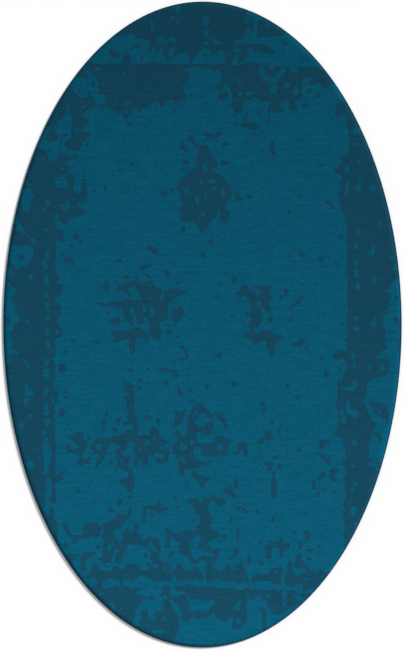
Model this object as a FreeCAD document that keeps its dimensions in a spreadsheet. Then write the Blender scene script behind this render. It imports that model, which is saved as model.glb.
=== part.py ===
import FreeCAD, Part
import os
import Sketcher

# Oval area rug, 5 x 8 ft class, lying flat.  Millimetres, +Y along the length, +Z up.
# The origin is the middle of the underside.  The layers stack from z = 0:
# canvas and edge tape, latex, woven tufting cloth, then the cut pile.  A serged roll
# closes the rim.  The two-tone pile is inlaid: every dark motif is its own solid
# standing in a hole of the light field, a hair of clearance all round.

os.makedirs("parts", exist_ok=True)
doc = FreeCAD.newDocument("OvalRug")
V = FreeCAD.Vector

sheet = doc.addObject("Spreadsheet::Sheet", "Sizes")
SIZES = [
    ("oval_width", 1504), ("oval_length", 2438), ("gap", 0.3),
    ("canvas_thick", 1.2), ("latex_thick", 1.0), ("cloth_thick", 0.8),
    ("pile_height", 8.6),
    ("roll_width", 6), ("roll_height", 7), ("cord_width", 3), ("cord_height", 3),
    ("tape_width", 32),
    ("thread_width", 0.8), ("thread_depth", 0.5), ("seam_inset", 4),
    ("label_wide", 70), ("label_tall", 45), ("label_thick", 0.4), ("label_out", 1150),
    ("medallion_up", 500), ("left_spray_out", 240), ("left_spray_up", 50),
    ("right_spray_out", 210), ("right_spray_up", 40),
]
for row, (alias, value) in enumerate(SIZES, 1):
    sheet.set("A%d" % row, alias)
    sheet.set("B%d" % row, str(value))
    sheet.setAlias("B%d" % row, alias)
doc.recompute()

NODES = []


def node(obj, label):
    """Names an object as one of the rug's pieces."""
    obj.Label = label
    NODES.append(obj)
    return obj


def oval_block(name, inset, thick, level):
    """An elliptical slab: inset from the rim, thickness and height of its underside."""
    edge = doc.addObject("Part::Ellipse", name + "_edge")
    edge.setExpression("MajorRadius", "Sizes.oval_length / 2 - (%s)" % inset)
    edge.setExpression("MinorRadius", "Sizes.oval_width / 2 - (%s)" % inset)
    edge.Placement = FreeCAD.Placement(V(0, 0, 0), FreeCAD.Rotation(V(0, 0, 1), 90))
    edge.setExpression("Placement.Base.z", level)
    slab = doc.addObject("Part::Extrusion", name)
    slab.Base = edge
    slab.DirMode = "Custom"
    slab.Dir = V(0, 0, 1)
    slab.Solid = True
    slab.setExpression("LengthFwd", thick)
    return slab


def minus(name, base, tool):
    cut = doc.addObject("Part::Cut", name)
    cut.Base = base
    cut.Tool = tool
    return cut


def oval_ring(name, outer_inset, inner_inset, thick, level):
    """A band that follows the rim between two insets."""
    return minus(name, oval_block(name + "_outer", outer_inset, thick, level),
                 oval_block(name + "_inner", inner_inset, thick, level))


# Heights of the layers, each a clearance above the one below.
LATEX_Z = "Sizes.canvas_thick + Sizes.gap"
CLOTH_Z = LATEX_Z + " + Sizes.latex_thick + Sizes.gap"
PILE_Z = CLOTH_Z + " + Sizes.cloth_thick + Sizes.gap"
INSIDE_ROLL = "Sizes.roll_width + Sizes.gap"
TAPE_INNER = INSIDE_ROLL + " + Sizes.tape_width"


def box(name, wide, tall, thick, corner_x, corner_y, corner_z):
    block = doc.addObject("Part::Box", name)
    for prop, value in (("Length", wide), ("Width", tall), ("Height", thick),
                        ("Placement.Base.x", corner_x), ("Placement.Base.y", corner_y),
                        ("Placement.Base.z", corner_z)):
        block.setExpression(prop, value)
    return block


# ---- Canvas backing: the glued-on cloth under the rug, with a shallow seat for the label.
canvas_blank = oval_block("canvas_blank", TAPE_INNER + " + Sizes.gap", "Sizes.canvas_thick", "0")
label_seat = box("label_seat", "Sizes.label_wide + 2 * Sizes.gap",
                 "Sizes.label_tall + 2 * Sizes.gap", "Sizes.label_thick + Sizes.gap",
                 "-Sizes.label_wide / 2 - Sizes.gap",
                 "-Sizes.label_out - Sizes.gap", "0")
node(minus("canvas", canvas_blank, label_seat), "secondary_backing")

# ---- Edge tape: twill band sewn round the underside, two grooves for its seams.
tape_blank = oval_ring("tape_blank", INSIDE_ROLL, TAPE_INNER, "Sizes.canvas_thick", "0")
OUTER_SEAM = INSIDE_ROLL + " + Sizes.seam_inset"
INNER_SEAM = TAPE_INNER + " - Sizes.seam_inset"


def seam_groove(name, line):
    return oval_ring(name, line + " - Sizes.thread_width / 2 - Sizes.gap",
                     line + " + Sizes.thread_width / 2 + Sizes.gap",
                     "Sizes.thread_depth + Sizes.gap", "0")


grooves = doc.addObject("Part::MultiFuse", "grooves")
grooves.Shapes = [seam_groove("groove_outer", OUTER_SEAM), seam_groove("groove_inner", INNER_SEAM)]
node(minus("tape", tape_blank, grooves), "binding_tape")
for label, line in (("tape_stitch_outer", OUTER_SEAM), ("tape_stitch_inner", INNER_SEAM)):
    node(oval_ring("thread_" + label, line + " - Sizes.thread_width / 2",
                   line + " + Sizes.thread_width / 2", "Sizes.thread_depth", "0"), label)

# ---- Care label: a blank woven tab lying in its seat.
node(box("label_blank", "Sizes.label_wide", "Sizes.label_tall", "Sizes.label_thick",
         "-Sizes.label_wide / 2", "-Sizes.label_out", "0"), "care_label")

# ---- Latex coat and tufting cloth: two plain ovals that fill the roll.
node(oval_block("latex", INSIDE_ROLL, "Sizes.latex_thick", LATEX_Z), "latex_coat")
node(oval_block("cloth", INSIDE_ROLL, "Sizes.cloth_thick", CLOTH_Z), "primary_backing")

# ---- Rim: a filler cord inside a wrapped yarn roll.
CORD_IN = "(Sizes.roll_width - Sizes.cord_width) / 2"
CORD_Z = "(Sizes.roll_height - Sizes.cord_height) / 2"
node(oval_ring("cord", CORD_IN, CORD_IN + " + Sizes.cord_width", "Sizes.cord_height", CORD_Z),
     "edge_cord")
roll_blank = oval_ring("roll_blank", "0", "Sizes.roll_width", "Sizes.roll_height", "0")
cord_room = oval_ring("cord_room", CORD_IN + " - Sizes.gap",
                      CORD_IN + " + Sizes.cord_width + Sizes.gap",
                      "Sizes.cord_height + 2 * Sizes.gap", CORD_Z + " - Sizes.gap")
node(minus("roll", roll_blank, cord_room), "serging_yarn")

# ---- Pile motifs.  Corners run round each patch; rim patches run past the oval and are
# trimmed by it.  An anchored motif's corners are measured from its own sheet cells.
RIM_MOTIFS = {
    "border_pile_top": [
        (-345, 1100), (-325, 1088), (-270, 1102), (-240, 1075), (-205, 1072), (-207, 1028),
        (-165, 1022), (-125, 1008), (-88, 1025), (-48, 1030), (-30, 1002), (0, 1046),
        (35, 1018), (80, 1035), (92, 1000), (108, 996), (120, 1050), (180, 1042), (275, 1022),
        (250, 1056), (130, 1062), (128, 1080), (160, 1088), (205, 1082), (235, 1092),
        (312, 1092), (345, 1130), (345, 1300), (-345, 1300)],
    "border_pile_left": [
        (-505, 905), (-470, 862), (-430, 860), (-405, 810), (-432, 780), (-425, 755),
        (-445, 720), (-425, 710), (-470, 655), (-520, 640), (-500, 590), (-520, 565),
        (-490, 560), (-498, 505), (-450, 545), (-438, 500), (-470, 460), (-448, 415),
        (-500, 400), (-530, 380), (-528, 315), (-555, 300), (-555, 205), (-530, 145),
        (-556, 95), (-530, -5), (-530, -50), (-558, -70), (-560, -300), (-556, -600),
        (-562, -730), (-548, -800), (-545, -850), (-545, -885), (-900, -885), (-900, 905)],
    "border_pile_right": [
        (505, 840), (506, 780), (530, 795), (552, 740), (556, 645), (500, 585), (528, 520),
        (518, 470), (545, 400), (547, -30), (552, -100), (490, -115), (500, -135), (545, -150),
        (540, -205), (510, -215), (512, -370), (500, -420), (530, -435), (545, -500),
        (530, -595), (545, -640), (535, -740), (540, -860), (700, -860), (800, -560),
        (640, -505), (625, -500), (625, -440), (655, -405), (615, -290), (625, -215),
        (690, -190), (705, -130), (660, -118), (698, -60), (685, 30), (722, 60), (715, 160),
        (900, 175), (900, 840)],
    "border_pile_bottom": [
        (-480, -985), (-420, -1002), (-370, -995), (-300, -985), (-260, -1010), (-190, -1030),
        (-120, -990), (-40, -988), (60, -1000), (170, -995), (260, -1002), (370, -1015),
        (425, -995), (470, -1010), (380, -1045), (340, -1080), (275, -1102), (235, -1045),
        (215, -1032), (165, -1045), (165, -1110), (140, -1152), (112, -1150), (108, -1098),
        (60, -1122), (0, -1118), (-60, -1130), (-88, -1200), (-110, -1300), (-600, -1300)],
    "border_stripe_bottom": [
        (-424, -972), (-412, -910), (-380, -935), (-300, -930), (-285, -905), (-240, -905),
        (-225, -930), (-195, -920), (-110, -930), (20, -925), (60, -935), (150, -905),
        (180, -950), (250, -940), (290, -920), (310, -945), (340, -910), (380, -905),
        (430, -925), (475, -945), (520, -940), (440, -990), (400, -985), (320, -985),
        (250, -985), (200, -975), (150, -970), (60, -966), (0, -975), (-110, -965),
        (-300, -960), (-390, -975)],
    "panel_pile_right": [
        (25, 986), (100, 984), (220, 968), (250, 985), (330, 975), (350, 968), (440, 976),
        (480, 1000), (600, 880), (460, 905), (405, 915), (372, 925), (380, 845), (360, 808),
        (295, 800), (270, 815), (245, 845), (190, 858), (150, 820), (105, 808), (112, 860),
        (85, 900), (72, 950), (50, 964), (30, 970)],
    "panel_pile_left": [
        (-470, 988), (-432, 984), (-20, 984), (-20, 974), (-62, 962), (-45, 940), (-82, 892),
        (-62, 862), (-88, 842), (-135, 846), (-150, 825), (-182, 838), (-222, 825),
        (-245, 808), (-262, 826), (-278, 828), (-322, 800), (-350, 826), (-398, 832),
        (-405, 870), (-400, 935), (-445, 930), (-500, 940)],
}
MOTIFS = {
    "medallion_pile": ("0", "Sizes.medallion_up", [
        (0, 182), (28, 160), (50, 128), (58, 92), (42, 72), (92, 45), (112, 0), (100, -38),
        (80, -58), (112, -78), (98, -115), (60, -115), (38, -98), (0, -158), (-30, -105),
        (-82, -108), (-92, -62), (-76, -50), (-98, 10), (-72, 48), (-22, 85), (-30, 120)]),
    "spray_pile_left": ("-Sizes.left_spray_out", "Sizes.left_spray_up", [
        (-150, 32), (-60, 48), (-62, 105), (0, 112), (50, 95), (82, 85), (180, 78),
        (108, 28), (112, -32), (75, -48), (85, -85), (58, -110), (30, -80), (-8, -68),
        (-18, -160), (-35, -160), (-40, -105), (-98, -122), (-98, -78), (-15, -60),
        (-45, -42), (-112, -35), (-55, 5), (-75, 22)]),
    "spray_pile_right": ("Sizes.right_spray_out", "Sizes.right_spray_up", [
        (-90, 80), (-60, 110), (55, 105), (50, 55), (48, 8), (35, 0), (12, 25), (8, -55),
        (45, -62), (88, -85), (65, -110), (55, -165), (32, -120), (-20, -115), (-60, -90),
        (-38, -60), (-40, -25), (-65, 5), (-20, 10), (-28, 50), (-66, 58)]),
    "stem_pile": ("0", "0", [
        (-310, -205), (-278, -215), (-262, -240), (-256, -330), (-240, -370), (-250, -402),
        (-298, -395), (-285, -360), (-290, -285), (-300, -250)]),
    "cluster_pile_left": ("0", "0", [
        (-500, -425), (-462, -408), (-430, -450), (-335, -425), (-292, -408), (-245, -408),
        (-245, -425), (-195, -430), (-192, -385), (-165, -405), (-138, -445), (-128, -490),
        (-165, -470), (-205, -495), (-205, -525), (-250, -540), (-262, -460), (-285, -500),
        (-335, -560), (-325, -475), (-360, -500), (-408, -545), (-425, -500), (-462, -535),
        (-478, -505), (-515, -465)]),
    "cluster_pile_middle": ("0", "0", [
        (-110, -385), (-100, -325), (-60, -345), (-15, -302), (60, -335), (88, -352),
        (98, -398), (70, -430), (110, -445), (90, -500), (30, -506), (-10, -500), (-35, -545),
        (-90, -572), (-98, -510), (-114, -465)]),
    "drop_pile": ("0", "0", [
        (-272, -548), (-255, -590), (-270, -636), (-312, -598)]),
    "foot_pile_left": ("0", "0", [
        (-378, -762), (-325, -742), (-310, -718), (-265, -692), (-265, -735), (-240, -760),
        (-232, -808), (-190, -808), (-178, -880), (-215, -880), (-222, -835), (-285, -835),
        (-300, -872), (-330, -900), (-385, -895)]),
    "foot_pile_middle": ("0", "0", [
        (-68, -668), (-5, -650), (88, -662), (62, -692), (22, -690), (38, -745), (38, -785),
        (62, -792), (28, -812), (68, -850), (45, -892), (-20, -875), (-45, -835), (-92, -830),
        (-142, -835), (-135, -762), (-105, -785), (-55, -778), (-15, -755), (-20, -700)]),
    "foot_pile_right": ("0", "0", [
        (235, -832), (258, -820), (300, -806), (345, -828), (312, -862), (308, -890),
        (285, -850), (262, -836), (262, -885), (240, -880)]),
    "arch_pile": ("0", "0", [
        (-228, -682), (-160, -670), (-120, -700), (-170, -715), (-196, -698), (-220, -756),
        (-232, -750)]),
    "bar_pile": ("0", "0", [
        (268, -552), (288, -600), (285, -640), (270, -662), (258, -610)]),
}


def patch(name, corners):
    """A closed outline of straight runs, drawn level."""
    outline = doc.addObject("Sketcher::SketchObject", name + "_outline")
    for i, (x, y) in enumerate(corners):
        u, w = corners[(i + 1) % len(corners)]
        outline.addGeometry(Part.LineSegment(V(x, y, 0), V(u, w, 0)), False)
    for i in range(len(corners)):
        after = (i + 1) % len(corners)
        outline.addConstraint(Sketcher.Constraint("Coincident", i, 2, after, 1))
    return outline


def raised(name, base):
    solid = doc.addObject("Part::Extrusion", name)
    solid.Base = base
    solid.DirMode = "Custom"
    solid.Dir = V(0, 0, 1)
    solid.Solid = True
    solid.setExpression("LengthFwd", "Sizes.pile_height")
    return solid


def grown(corners, by):
    """The same outline with every side moved out by the given distance, corners mitred."""
    count = len(corners)
    area = sum(corners[i - 1][0] * corners[i][1] - corners[i][0] * corners[i - 1][1]
               for i in range(count))
    turn = 1 if area > 0 else -1
    sides = []
    for i in range(count):
        along = V(*corners[(i + 1) % count], 0) - V(*corners[i], 0)
        along.normalize()
        sides.append(V(along.y * turn, -along.x * turn, 0))
    moved = []
    for i, (x, y) in enumerate(corners):
        both = sides[i - 1] + sides[i]
        mitre = by / max(1 + sides[i - 1].dot(sides[i]), 0.1)
        moved.append((x + both.x * mitre, y + both.y * mitre))
    return moved


def patch_pair(name, corners, out="0", up="0"):
    """The motif itself and the slightly wider hole that it stands in."""
    pair = []
    for suffix, line in (("", corners), ("_hole", grown(corners, sheet.gap))):
        outline = patch(name + suffix, line)
        outline.setExpression("Placement.Base.x", out)
        outline.setExpression("Placement.Base.y", up)
        outline.setExpression("Placement.Base.z", PILE_Z)
        pair.append(raised(name + suffix, outline))
    return pair


PILE_EDGE = INSIDE_ROLL
holes = []
for name, corners in RIM_MOTIFS.items():
    motif, hole = patch_pair("shape_" + name, corners)
    trimmed = doc.addObject("Part::Common", "trim_" + name)
    trimmed.Base = motif
    trimmed.Tool = oval_block("trimmer_" + name, PILE_EDGE, "Sizes.pile_height", PILE_Z)
    node(trimmed, name)
    holes.append(hole)
for name, (out, up, corners) in MOTIFS.items():
    motif, hole = patch_pair("shape_" + name, corners, out, up)
    node(motif, name)
    holes.append(hole)

# ---- Field pile: the light yarn, an oval slab with every motif's hole through it.
all_holes = doc.addObject("Part::MultiFuse", "all_holes")
all_holes.Shapes = holes
field_blank = oval_block("field_blank", PILE_EDGE, "Sizes.pile_height", PILE_Z)
field_all = minus("field_all", field_blank, all_holes)
# Two patches of light tufts are shut off from the field by the border: one at the foot of
# the rug and one along the right rim.  Each is taken out of the field by a region block
# given as corner x, corner y, width, length.
PATCHES = {"hem_pile": (-120, -1300, 540, 270), "rim_pile_right": (600, -600, 200, 800)}


def region(name, spans):
    block = doc.addObject("Part::Box", name)
    block.Placement = FreeCAD.Placement(V(spans[0], spans[1], 0), FreeCAD.Rotation())
    block.Length, block.Width = spans[2:]
    block.setExpression("Height", "2 * Sizes.pile_height")
    return block


field = field_all
for name, spans in PATCHES.items():
    light = doc.addObject("Part::Common", "light_" + name)
    light.Base = field_all
    light.Tool = region("keep_" + name, spans)
    node(light, name)
    field = minus("field_less_" + name, field, region("drop_" + name, spans))
node(field, "field_pile")

doc.recompute()
for obj in doc.Objects:
    if any(word in obj.State for word in ("Invalid", "Error")):
        raise RuntimeError("%s did not build" % obj.Label)
for obj in NODES:
    shape = obj.Shape
    if shape.isNull() or not shape.isValid():
        raise RuntimeError("%s has a bad shape" % obj.Label)
    print("%-22s solids %d  volume %12.0f mm3" % (obj.Label, len(shape.Solids), shape.Volume))
    shape.exportStep("parts/%s.step" % obj.Label)
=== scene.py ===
import math
import bmesh
import bpy
import numpy as np
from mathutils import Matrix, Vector
from mathutils.geometry import delaunay_2d_cdt


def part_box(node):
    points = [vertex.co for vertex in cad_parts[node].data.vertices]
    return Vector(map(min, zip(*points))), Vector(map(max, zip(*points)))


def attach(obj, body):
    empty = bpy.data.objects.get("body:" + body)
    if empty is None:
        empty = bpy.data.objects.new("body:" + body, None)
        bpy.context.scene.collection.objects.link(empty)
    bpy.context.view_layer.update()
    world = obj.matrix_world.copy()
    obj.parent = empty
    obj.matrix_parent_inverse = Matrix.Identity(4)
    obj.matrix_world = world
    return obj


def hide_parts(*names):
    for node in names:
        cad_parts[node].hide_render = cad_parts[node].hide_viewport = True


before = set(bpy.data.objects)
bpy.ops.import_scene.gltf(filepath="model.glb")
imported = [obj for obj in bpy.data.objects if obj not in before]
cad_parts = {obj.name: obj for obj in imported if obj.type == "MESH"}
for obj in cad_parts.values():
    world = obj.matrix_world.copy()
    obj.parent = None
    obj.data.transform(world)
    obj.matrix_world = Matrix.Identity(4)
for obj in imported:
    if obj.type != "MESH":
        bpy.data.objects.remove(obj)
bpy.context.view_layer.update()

mm = 0.001


# ---------------------------------------------------------------- canvas backing
# A plain-woven cotton canvas glued under the rug.  It is cut to the same oval as the
# rug, a tape's width smaller, and lies flat on the floor.
low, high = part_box("serging_yarn")
HALF_WIDE = (high[0] - low[0]) / 2
HALF_LONG = (high[1] - low[1]) / 2
OVAL_SIDES = 360


def box_of(node):
    """A CAD node's underside height and top height."""
    a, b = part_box(node)
    return a[2], b[2]


def oval_slab(name, inset, bottom, top, band=None):
    """A flat oval cut from sheet stock that far inside the rim, made from a disc drawn up to
    its thickness.  Given a band, only a strip of that width is left along its edge."""
    bpy.ops.object.select_all(action="DESELECT")
    bpy.ops.mesh.primitive_circle_add(vertices=OVAL_SIDES, radius=1, fill_type="NGON",
                                      location=(0, 0, 0))
    slab = bpy.context.object
    slab.name = name
    bpy.ops.object.mode_set(mode="EDIT")
    bpy.ops.mesh.select_all(action="SELECT")
    bpy.ops.transform.resize(value=(HALF_WIDE - inset, HALF_LONG - inset, 1))
    bpy.ops.transform.translate(value=(0, 0, bottom))
    if band:
        bpy.ops.mesh.inset(thickness=band, use_even_offset=True)
        bpy.ops.mesh.delete(type="FACE")
        bpy.ops.mesh.select_all(action="SELECT")
    bpy.ops.mesh.extrude_region_move(TRANSFORM_OT_translate={"value": (0, 0, top - bottom)})
    bpy.ops.mesh.select_all(action="SELECT")
    bpy.ops.mesh.normals_make_consistent(inside=False)
    bpy.ops.object.mode_set(mode="OBJECT")
    return slab


def linear(hex_colour):
    """An sRGB hex colour as the linear RGBA that a shader takes."""
    out = []
    for k in (0, 2, 4):
        c = int(hex_colour[k:k + 2], 16) / 255
        out.append(c / 12.92 if c <= 0.04045 else ((c + 0.055) / 1.055) ** 2.4)
    return (*out, 1)


def new_material(name):
    """A material whose shader tree is still empty, and that tree."""
    material = bpy.data.materials.new(name)
    material.use_nodes = True
    material.node_tree.nodes.clear()
    return material, material.node_tree


def add(tree, kind, links=None, **settings):
    """Adds a shader node.  Settings are its own properties, links fill its inputs: each is a
    plain value or another node's output socket."""
    n = tree.nodes.new(kind)
    for key, value in settings.items():
        setattr(n, key, value)
    for key, value in (links or {}).items():
        if isinstance(value, bpy.types.NodeSocket):
            tree.links.new(value, n.inputs[key])
        else:
            n.inputs[key].default_value = value
    return n


SLUBS = 260.0                        # thick places in the thread, to the metre
WEAVE_SHARE = 0.35                   # how much the weave counts for, beside the slubs
GAP_HEIGHT, THREAD_HEIGHT = 0.1, 0.85


def cloth(name, thread, shadow, pitch, roughness=0.9, twill=0.0, depth=0.2 * mm):
    """Woven cotton: dull, with crossing threads of the given pitch and painted shade, the shadow
    colour, in the gaps between them.  A twill's rows step sideways, so its ribs run on the slant."""
    mat, t = new_material(name)
    place = add(t, "ShaderNodeTexCoord")
    split = add(t, "ShaderNodeSeparateXYZ", {"Vector": place.outputs["Object"]})
    slant = add(t, "ShaderNodeMath", {0: split.outputs["X"], 1: twill, 2: split.outputs["Y"]},
                operation="MULTIPLY_ADD")
    turn = 2 * math.pi / pitch
    ribs = []
    for source in (split.outputs["X"], slant.outputs[0]):
        angle = add(t, "ShaderNodeMath", {0: source, 1: turn}, operation="MULTIPLY")
        wave = add(t, "ShaderNodeMath", {0: angle.outputs[0]}, operation="SINE")
        ribs.append(wave.outputs[0])
    weave = add(t, "ShaderNodeMath", {0: ribs[0], 1: ribs[1]}, operation="MULTIPLY")
    slub = add(t, "ShaderNodeTexNoise", {"Vector": place.outputs["Object"], "Scale": SLUBS,
                                         "Detail": 3.0})
    mixed = add(t, "ShaderNodeMath", {0: weave.outputs[0], 1: WEAVE_SHARE,
                                      2: slub.outputs["Fac"]}, operation="MULTIPLY_ADD")
    ramp = add(t, "ShaderNodeMapRange", {"Value": mixed.outputs[0], "From Min": GAP_HEIGHT,
                                         "From Max": THREAD_HEIGHT})
    # a Mix node's two colours are its sockets 6 and 7; the low places between the threads take the
    # shadow colour, as painted shade
    colour = add(t, "ShaderNodeMix", {"Factor": ramp.outputs[0], 6: linear(shadow),
                                      7: linear(thread)}, data_type="RGBA")
    bump = add(t, "ShaderNodeBump", {"Height": mixed.outputs[0], "Distance": depth,
                                     "Strength": 0.8})
    shader = add(t, "ShaderNodeBsdfPrincipled",
                 {"Base Color": colour.outputs[2], "Roughness": roughness,
                  "Normal": bump.outputs[0], "Sheen Weight": 0.15, "Sheen Roughness": 0.6})
    add(t, "ShaderNodeOutputMaterial", {"Surface": shader.outputs[0]})
    return mat


def finish_piece(piece, material, slot, *nodes):
    """Gives a piece its finish, and puts it in place of its CAD nodes on the rug."""
    piece.data.materials.clear()
    piece.data.materials.append(material)
    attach(piece, "root")
    if nodes:
        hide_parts(*nodes)
    return piece


TAPE_INSET = HALF_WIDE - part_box("secondary_backing")[1][0]
canvas_bottom, canvas_top = box_of("secondary_backing")
CANVAS_PITCH = 3 * mm      # real threads are about 1 mm apart; drawn coarser, to show
canvas = oval_slab("canvas_backing", TAPE_INSET, canvas_bottom, canvas_top)
finish_piece(canvas, cloth("cotton_canvas", "c9bfa6", "a3977c", CANVAS_PITCH), "canvas",
             "secondary_backing")


# ---------------------------------------------------------------- edge tape
# Cotton twill tape, 32 mm wide, laid round the underside to cover the canvas's cut edge.
# Its slanting ribs catch the light as fine lines.
tape_bottom, tape_top = box_of("binding_tape")
TAPE_OUTER = HALF_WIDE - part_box("binding_tape")[1][0]
TAPE_GAP = 0.3 * mm        # clear of the canvas's edge
TAPE_PITCH = 4 * mm        # the ribs of the twill, real ones are under 2 mm
TWILL_STEP = 0.6
tape = oval_slab("edge_tape", TAPE_OUTER, tape_bottom, tape_top,
                 band=TAPE_INSET - TAPE_OUTER - TAPE_GAP)
finish_piece(tape, cloth("cotton_twill_tape", "b8ac93", "8f8369", TAPE_PITCH, twill=TWILL_STEP),
             "twill_tape", "binding_tape")


# ---------------------------------------------------------------- tape seams
# Two rows of lockstitch in heavy cotton thread, 4 mm in from each edge of the tape.
# A stitch is a short plump bar of thread; the next one starts where it dives in.
STITCH_STEP, STITCH_LONG = 8 * mm, 6.4 * mm
THREAD = 0.8 * mm
THREAD_ROUNDING = 0.22
RIM_STEPS = 20001          # places at which the way round the rim is measured


def rim_point(inset, turn):
    """A point on the oval that lies inset from the rim, and the way the rim runs there."""
    c, s = math.cos(turn), math.sin(turn)
    a, b = HALF_WIDE - inset, HALF_LONG - inset
    run = math.hypot(a * s, b * c)
    return a * c, b * s, -a * s / run, b * c / run


def even_turns(inset, step):
    """Angles that walk round the oval in even steps of about the given length."""
    fine = np.linspace(0, 2 * math.pi, RIM_STEPS)
    x, y = (HALF_WIDE - inset) * np.cos(fine), (HALF_LONG - inset) * np.sin(fine)
    walked = np.concatenate([[0], np.cumsum(np.hypot(np.diff(x), np.diff(y)))])
    count = round(walked[-1] / step)
    return np.interp(np.arange(count) * walked[-1] / count, walked, fine)


def new_piece(name, points, faces):
    """A piece at the origin, made of the given points and faces."""
    mesh = bpy.data.meshes.new(name)
    mesh.from_pydata(points, [], faces)
    piece = bpy.data.objects.new(name, mesh)
    bpy.context.collection.objects.link(piece)
    return piece


def stitch_row(name, inset, height):
    """One bar of thread, modelled once, then set down all round the seam."""
    bpy.ops.object.select_all(action="DESELECT")
    bpy.ops.mesh.primitive_cylinder_add(vertices=6, radius=THREAD / 2, depth=STITCH_LONG,
                                        rotation=(0, math.pi / 2, 0), location=(0, 0, 0))
    bpy.ops.object.transform_apply(location=True, rotation=True, scale=True)
    bar = bpy.context.object
    bpy.ops.object.mode_set(mode="EDIT")
    bpy.ops.mesh.select_all(action="SELECT")
    bpy.ops.mesh.bevel(offset=THREAD * THREAD_ROUNDING, segments=1, affect="EDGES")
    bpy.ops.object.mode_set(mode="OBJECT")
    one = np.array([v.co for v in bar.data.vertices])
    bar_faces = [list(p.vertices) for p in bar.data.polygons]
    bpy.data.objects.remove(bar, do_unlink=True)
    points, faces = [], []
    for turn in even_turns(inset, STITCH_STEP):
        x, y, dx, dy = rim_point(inset, turn)
        start = len(points)
        for u, v, w in one:
            points.append((x + u * dx - v * dy, y + u * dy + v * dx, height + w))
        faces += [[start + i for i in f] for f in bar_faces]
    return new_piece(name, points, faces)


# cotton thread is pale, dull and finely twisted
thread_finish = cloth("cotton_thread", "e4ddc9", "b9b097", 0.9 * mm, depth=0.1 * mm)
SEAM_INSET = 4 * mm
SEAM_RISE = 0.2 * mm
tape_inner_inset = TAPE_INSET - TAPE_GAP
for name, node, inset in (("outer_seam", "tape_stitch_outer", TAPE_OUTER + SEAM_INSET),
                          ("inner_seam", "tape_stitch_inner", tape_inner_inset - SEAM_INSET)):
    row = stitch_row(name, inset, tape_bottom + SEAM_RISE)
    finish_piece(row, thread_finish, "thread", node)


# ---------------------------------------------------------------- care label
# A blank woven satin tab, glued into a shallow seat in the canvas near the foot of the
# rug.  Its close weave makes it smoother and a little shinier than the canvas.
label_low, label_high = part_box("care_label")
LABEL_THICK, LABEL_PROUD = 0.4 * mm, 0.15 * mm
LABEL_PITCH, LABEL_ROUGHNESS = 1.2 * mm, 0.6
bpy.ops.object.select_all(action="DESELECT")
bpy.ops.mesh.primitive_plane_add(size=1, location=(0, 0, 0))
label = bpy.context.object
label.name = "blank_label"
bpy.ops.object.mode_set(mode="EDIT")
bpy.ops.mesh.select_all(action="SELECT")
bpy.ops.mesh.subdivide(number_cuts=12)
bpy.ops.transform.resize(value=(label_high[0] - label_low[0], label_high[1] - label_low[1], 1))
bpy.ops.transform.translate(value=((label_low[0] + label_high[0]) / 2,
                                   (label_low[1] + label_high[1]) / 2, -LABEL_PROUD))
bpy.ops.mesh.extrude_region_move(TRANSFORM_OT_translate={"value": (0, 0, LABEL_THICK)})
bpy.ops.mesh.select_all(action="SELECT")
bpy.ops.mesh.normals_make_consistent(inside=False)
bpy.ops.object.mode_set(mode="OBJECT")
finish_piece(label, cloth("woven_label", "ece8dd", "d3ccbb", LABEL_PITCH, LABEL_ROUGHNESS),
             "label_cloth", "care_label")


# ---------------------------------------------------------------- latex coat
# The latex that locks the tufts, spread over the back of their cloth.  It is a dull cream
# rubber, streaked and ridged by the trowel.
latex_bottom, latex_top = box_of("latex_coat")
INSIDE_ROLL = HALF_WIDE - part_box("latex_coat")[1][0]
TROWEL_MARKS = (4, 60, 1)            # along and across the strokes, to half a metre
latex = oval_slab("latex_layer", INSIDE_ROLL, latex_bottom, latex_top)
rubber, t = new_material("natural_latex")
place = add(t, "ShaderNodeTexCoord")
strokes = add(t, "ShaderNodeMapping", {"Vector": place.outputs["Object"],
                                       "Scale": TROWEL_MARKS})
marks = add(t, "ShaderNodeTexNoise", {"Vector": strokes.outputs[0], "Scale": 2.0, "Detail": 5.0})
tone = add(t, "ShaderNodeMix", {"Factor": marks.outputs["Fac"], 6: linear("b5a889"),
                                7: linear("ddd3b8")}, data_type="RGBA")
ridge = add(t, "ShaderNodeBump", {"Height": marks.outputs["Fac"], "Distance": 0.6 * mm})
skin = add(t, "ShaderNodeBsdfPrincipled", {"Base Color": tone.outputs[2], "Roughness": 0.62,
                                           "Normal": ridge.outputs[0]})
add(t, "ShaderNodeOutputMaterial", {"Surface": skin.outputs[0]})
finish_piece(latex, rubber, "latex", "latex_coat")


# ---------------------------------------------------------------- tufting cloth
# The woven ground that the tufting needle shoots the yarn through, under the pile.  It is
# loosely woven from thick threads, and the latex below grips it.
cloth_bottom, cloth_top = box_of("primary_backing")
GROUND_PITCH = 3 * mm
ground = oval_slab("tufting_cloth", INSIDE_ROLL, cloth_bottom, cloth_top)
finish_piece(ground, cloth("tufting_cloth", "b7ae98", "8b826c", GROUND_PITCH), "tufting_cloth",
             "primary_backing")


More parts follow.
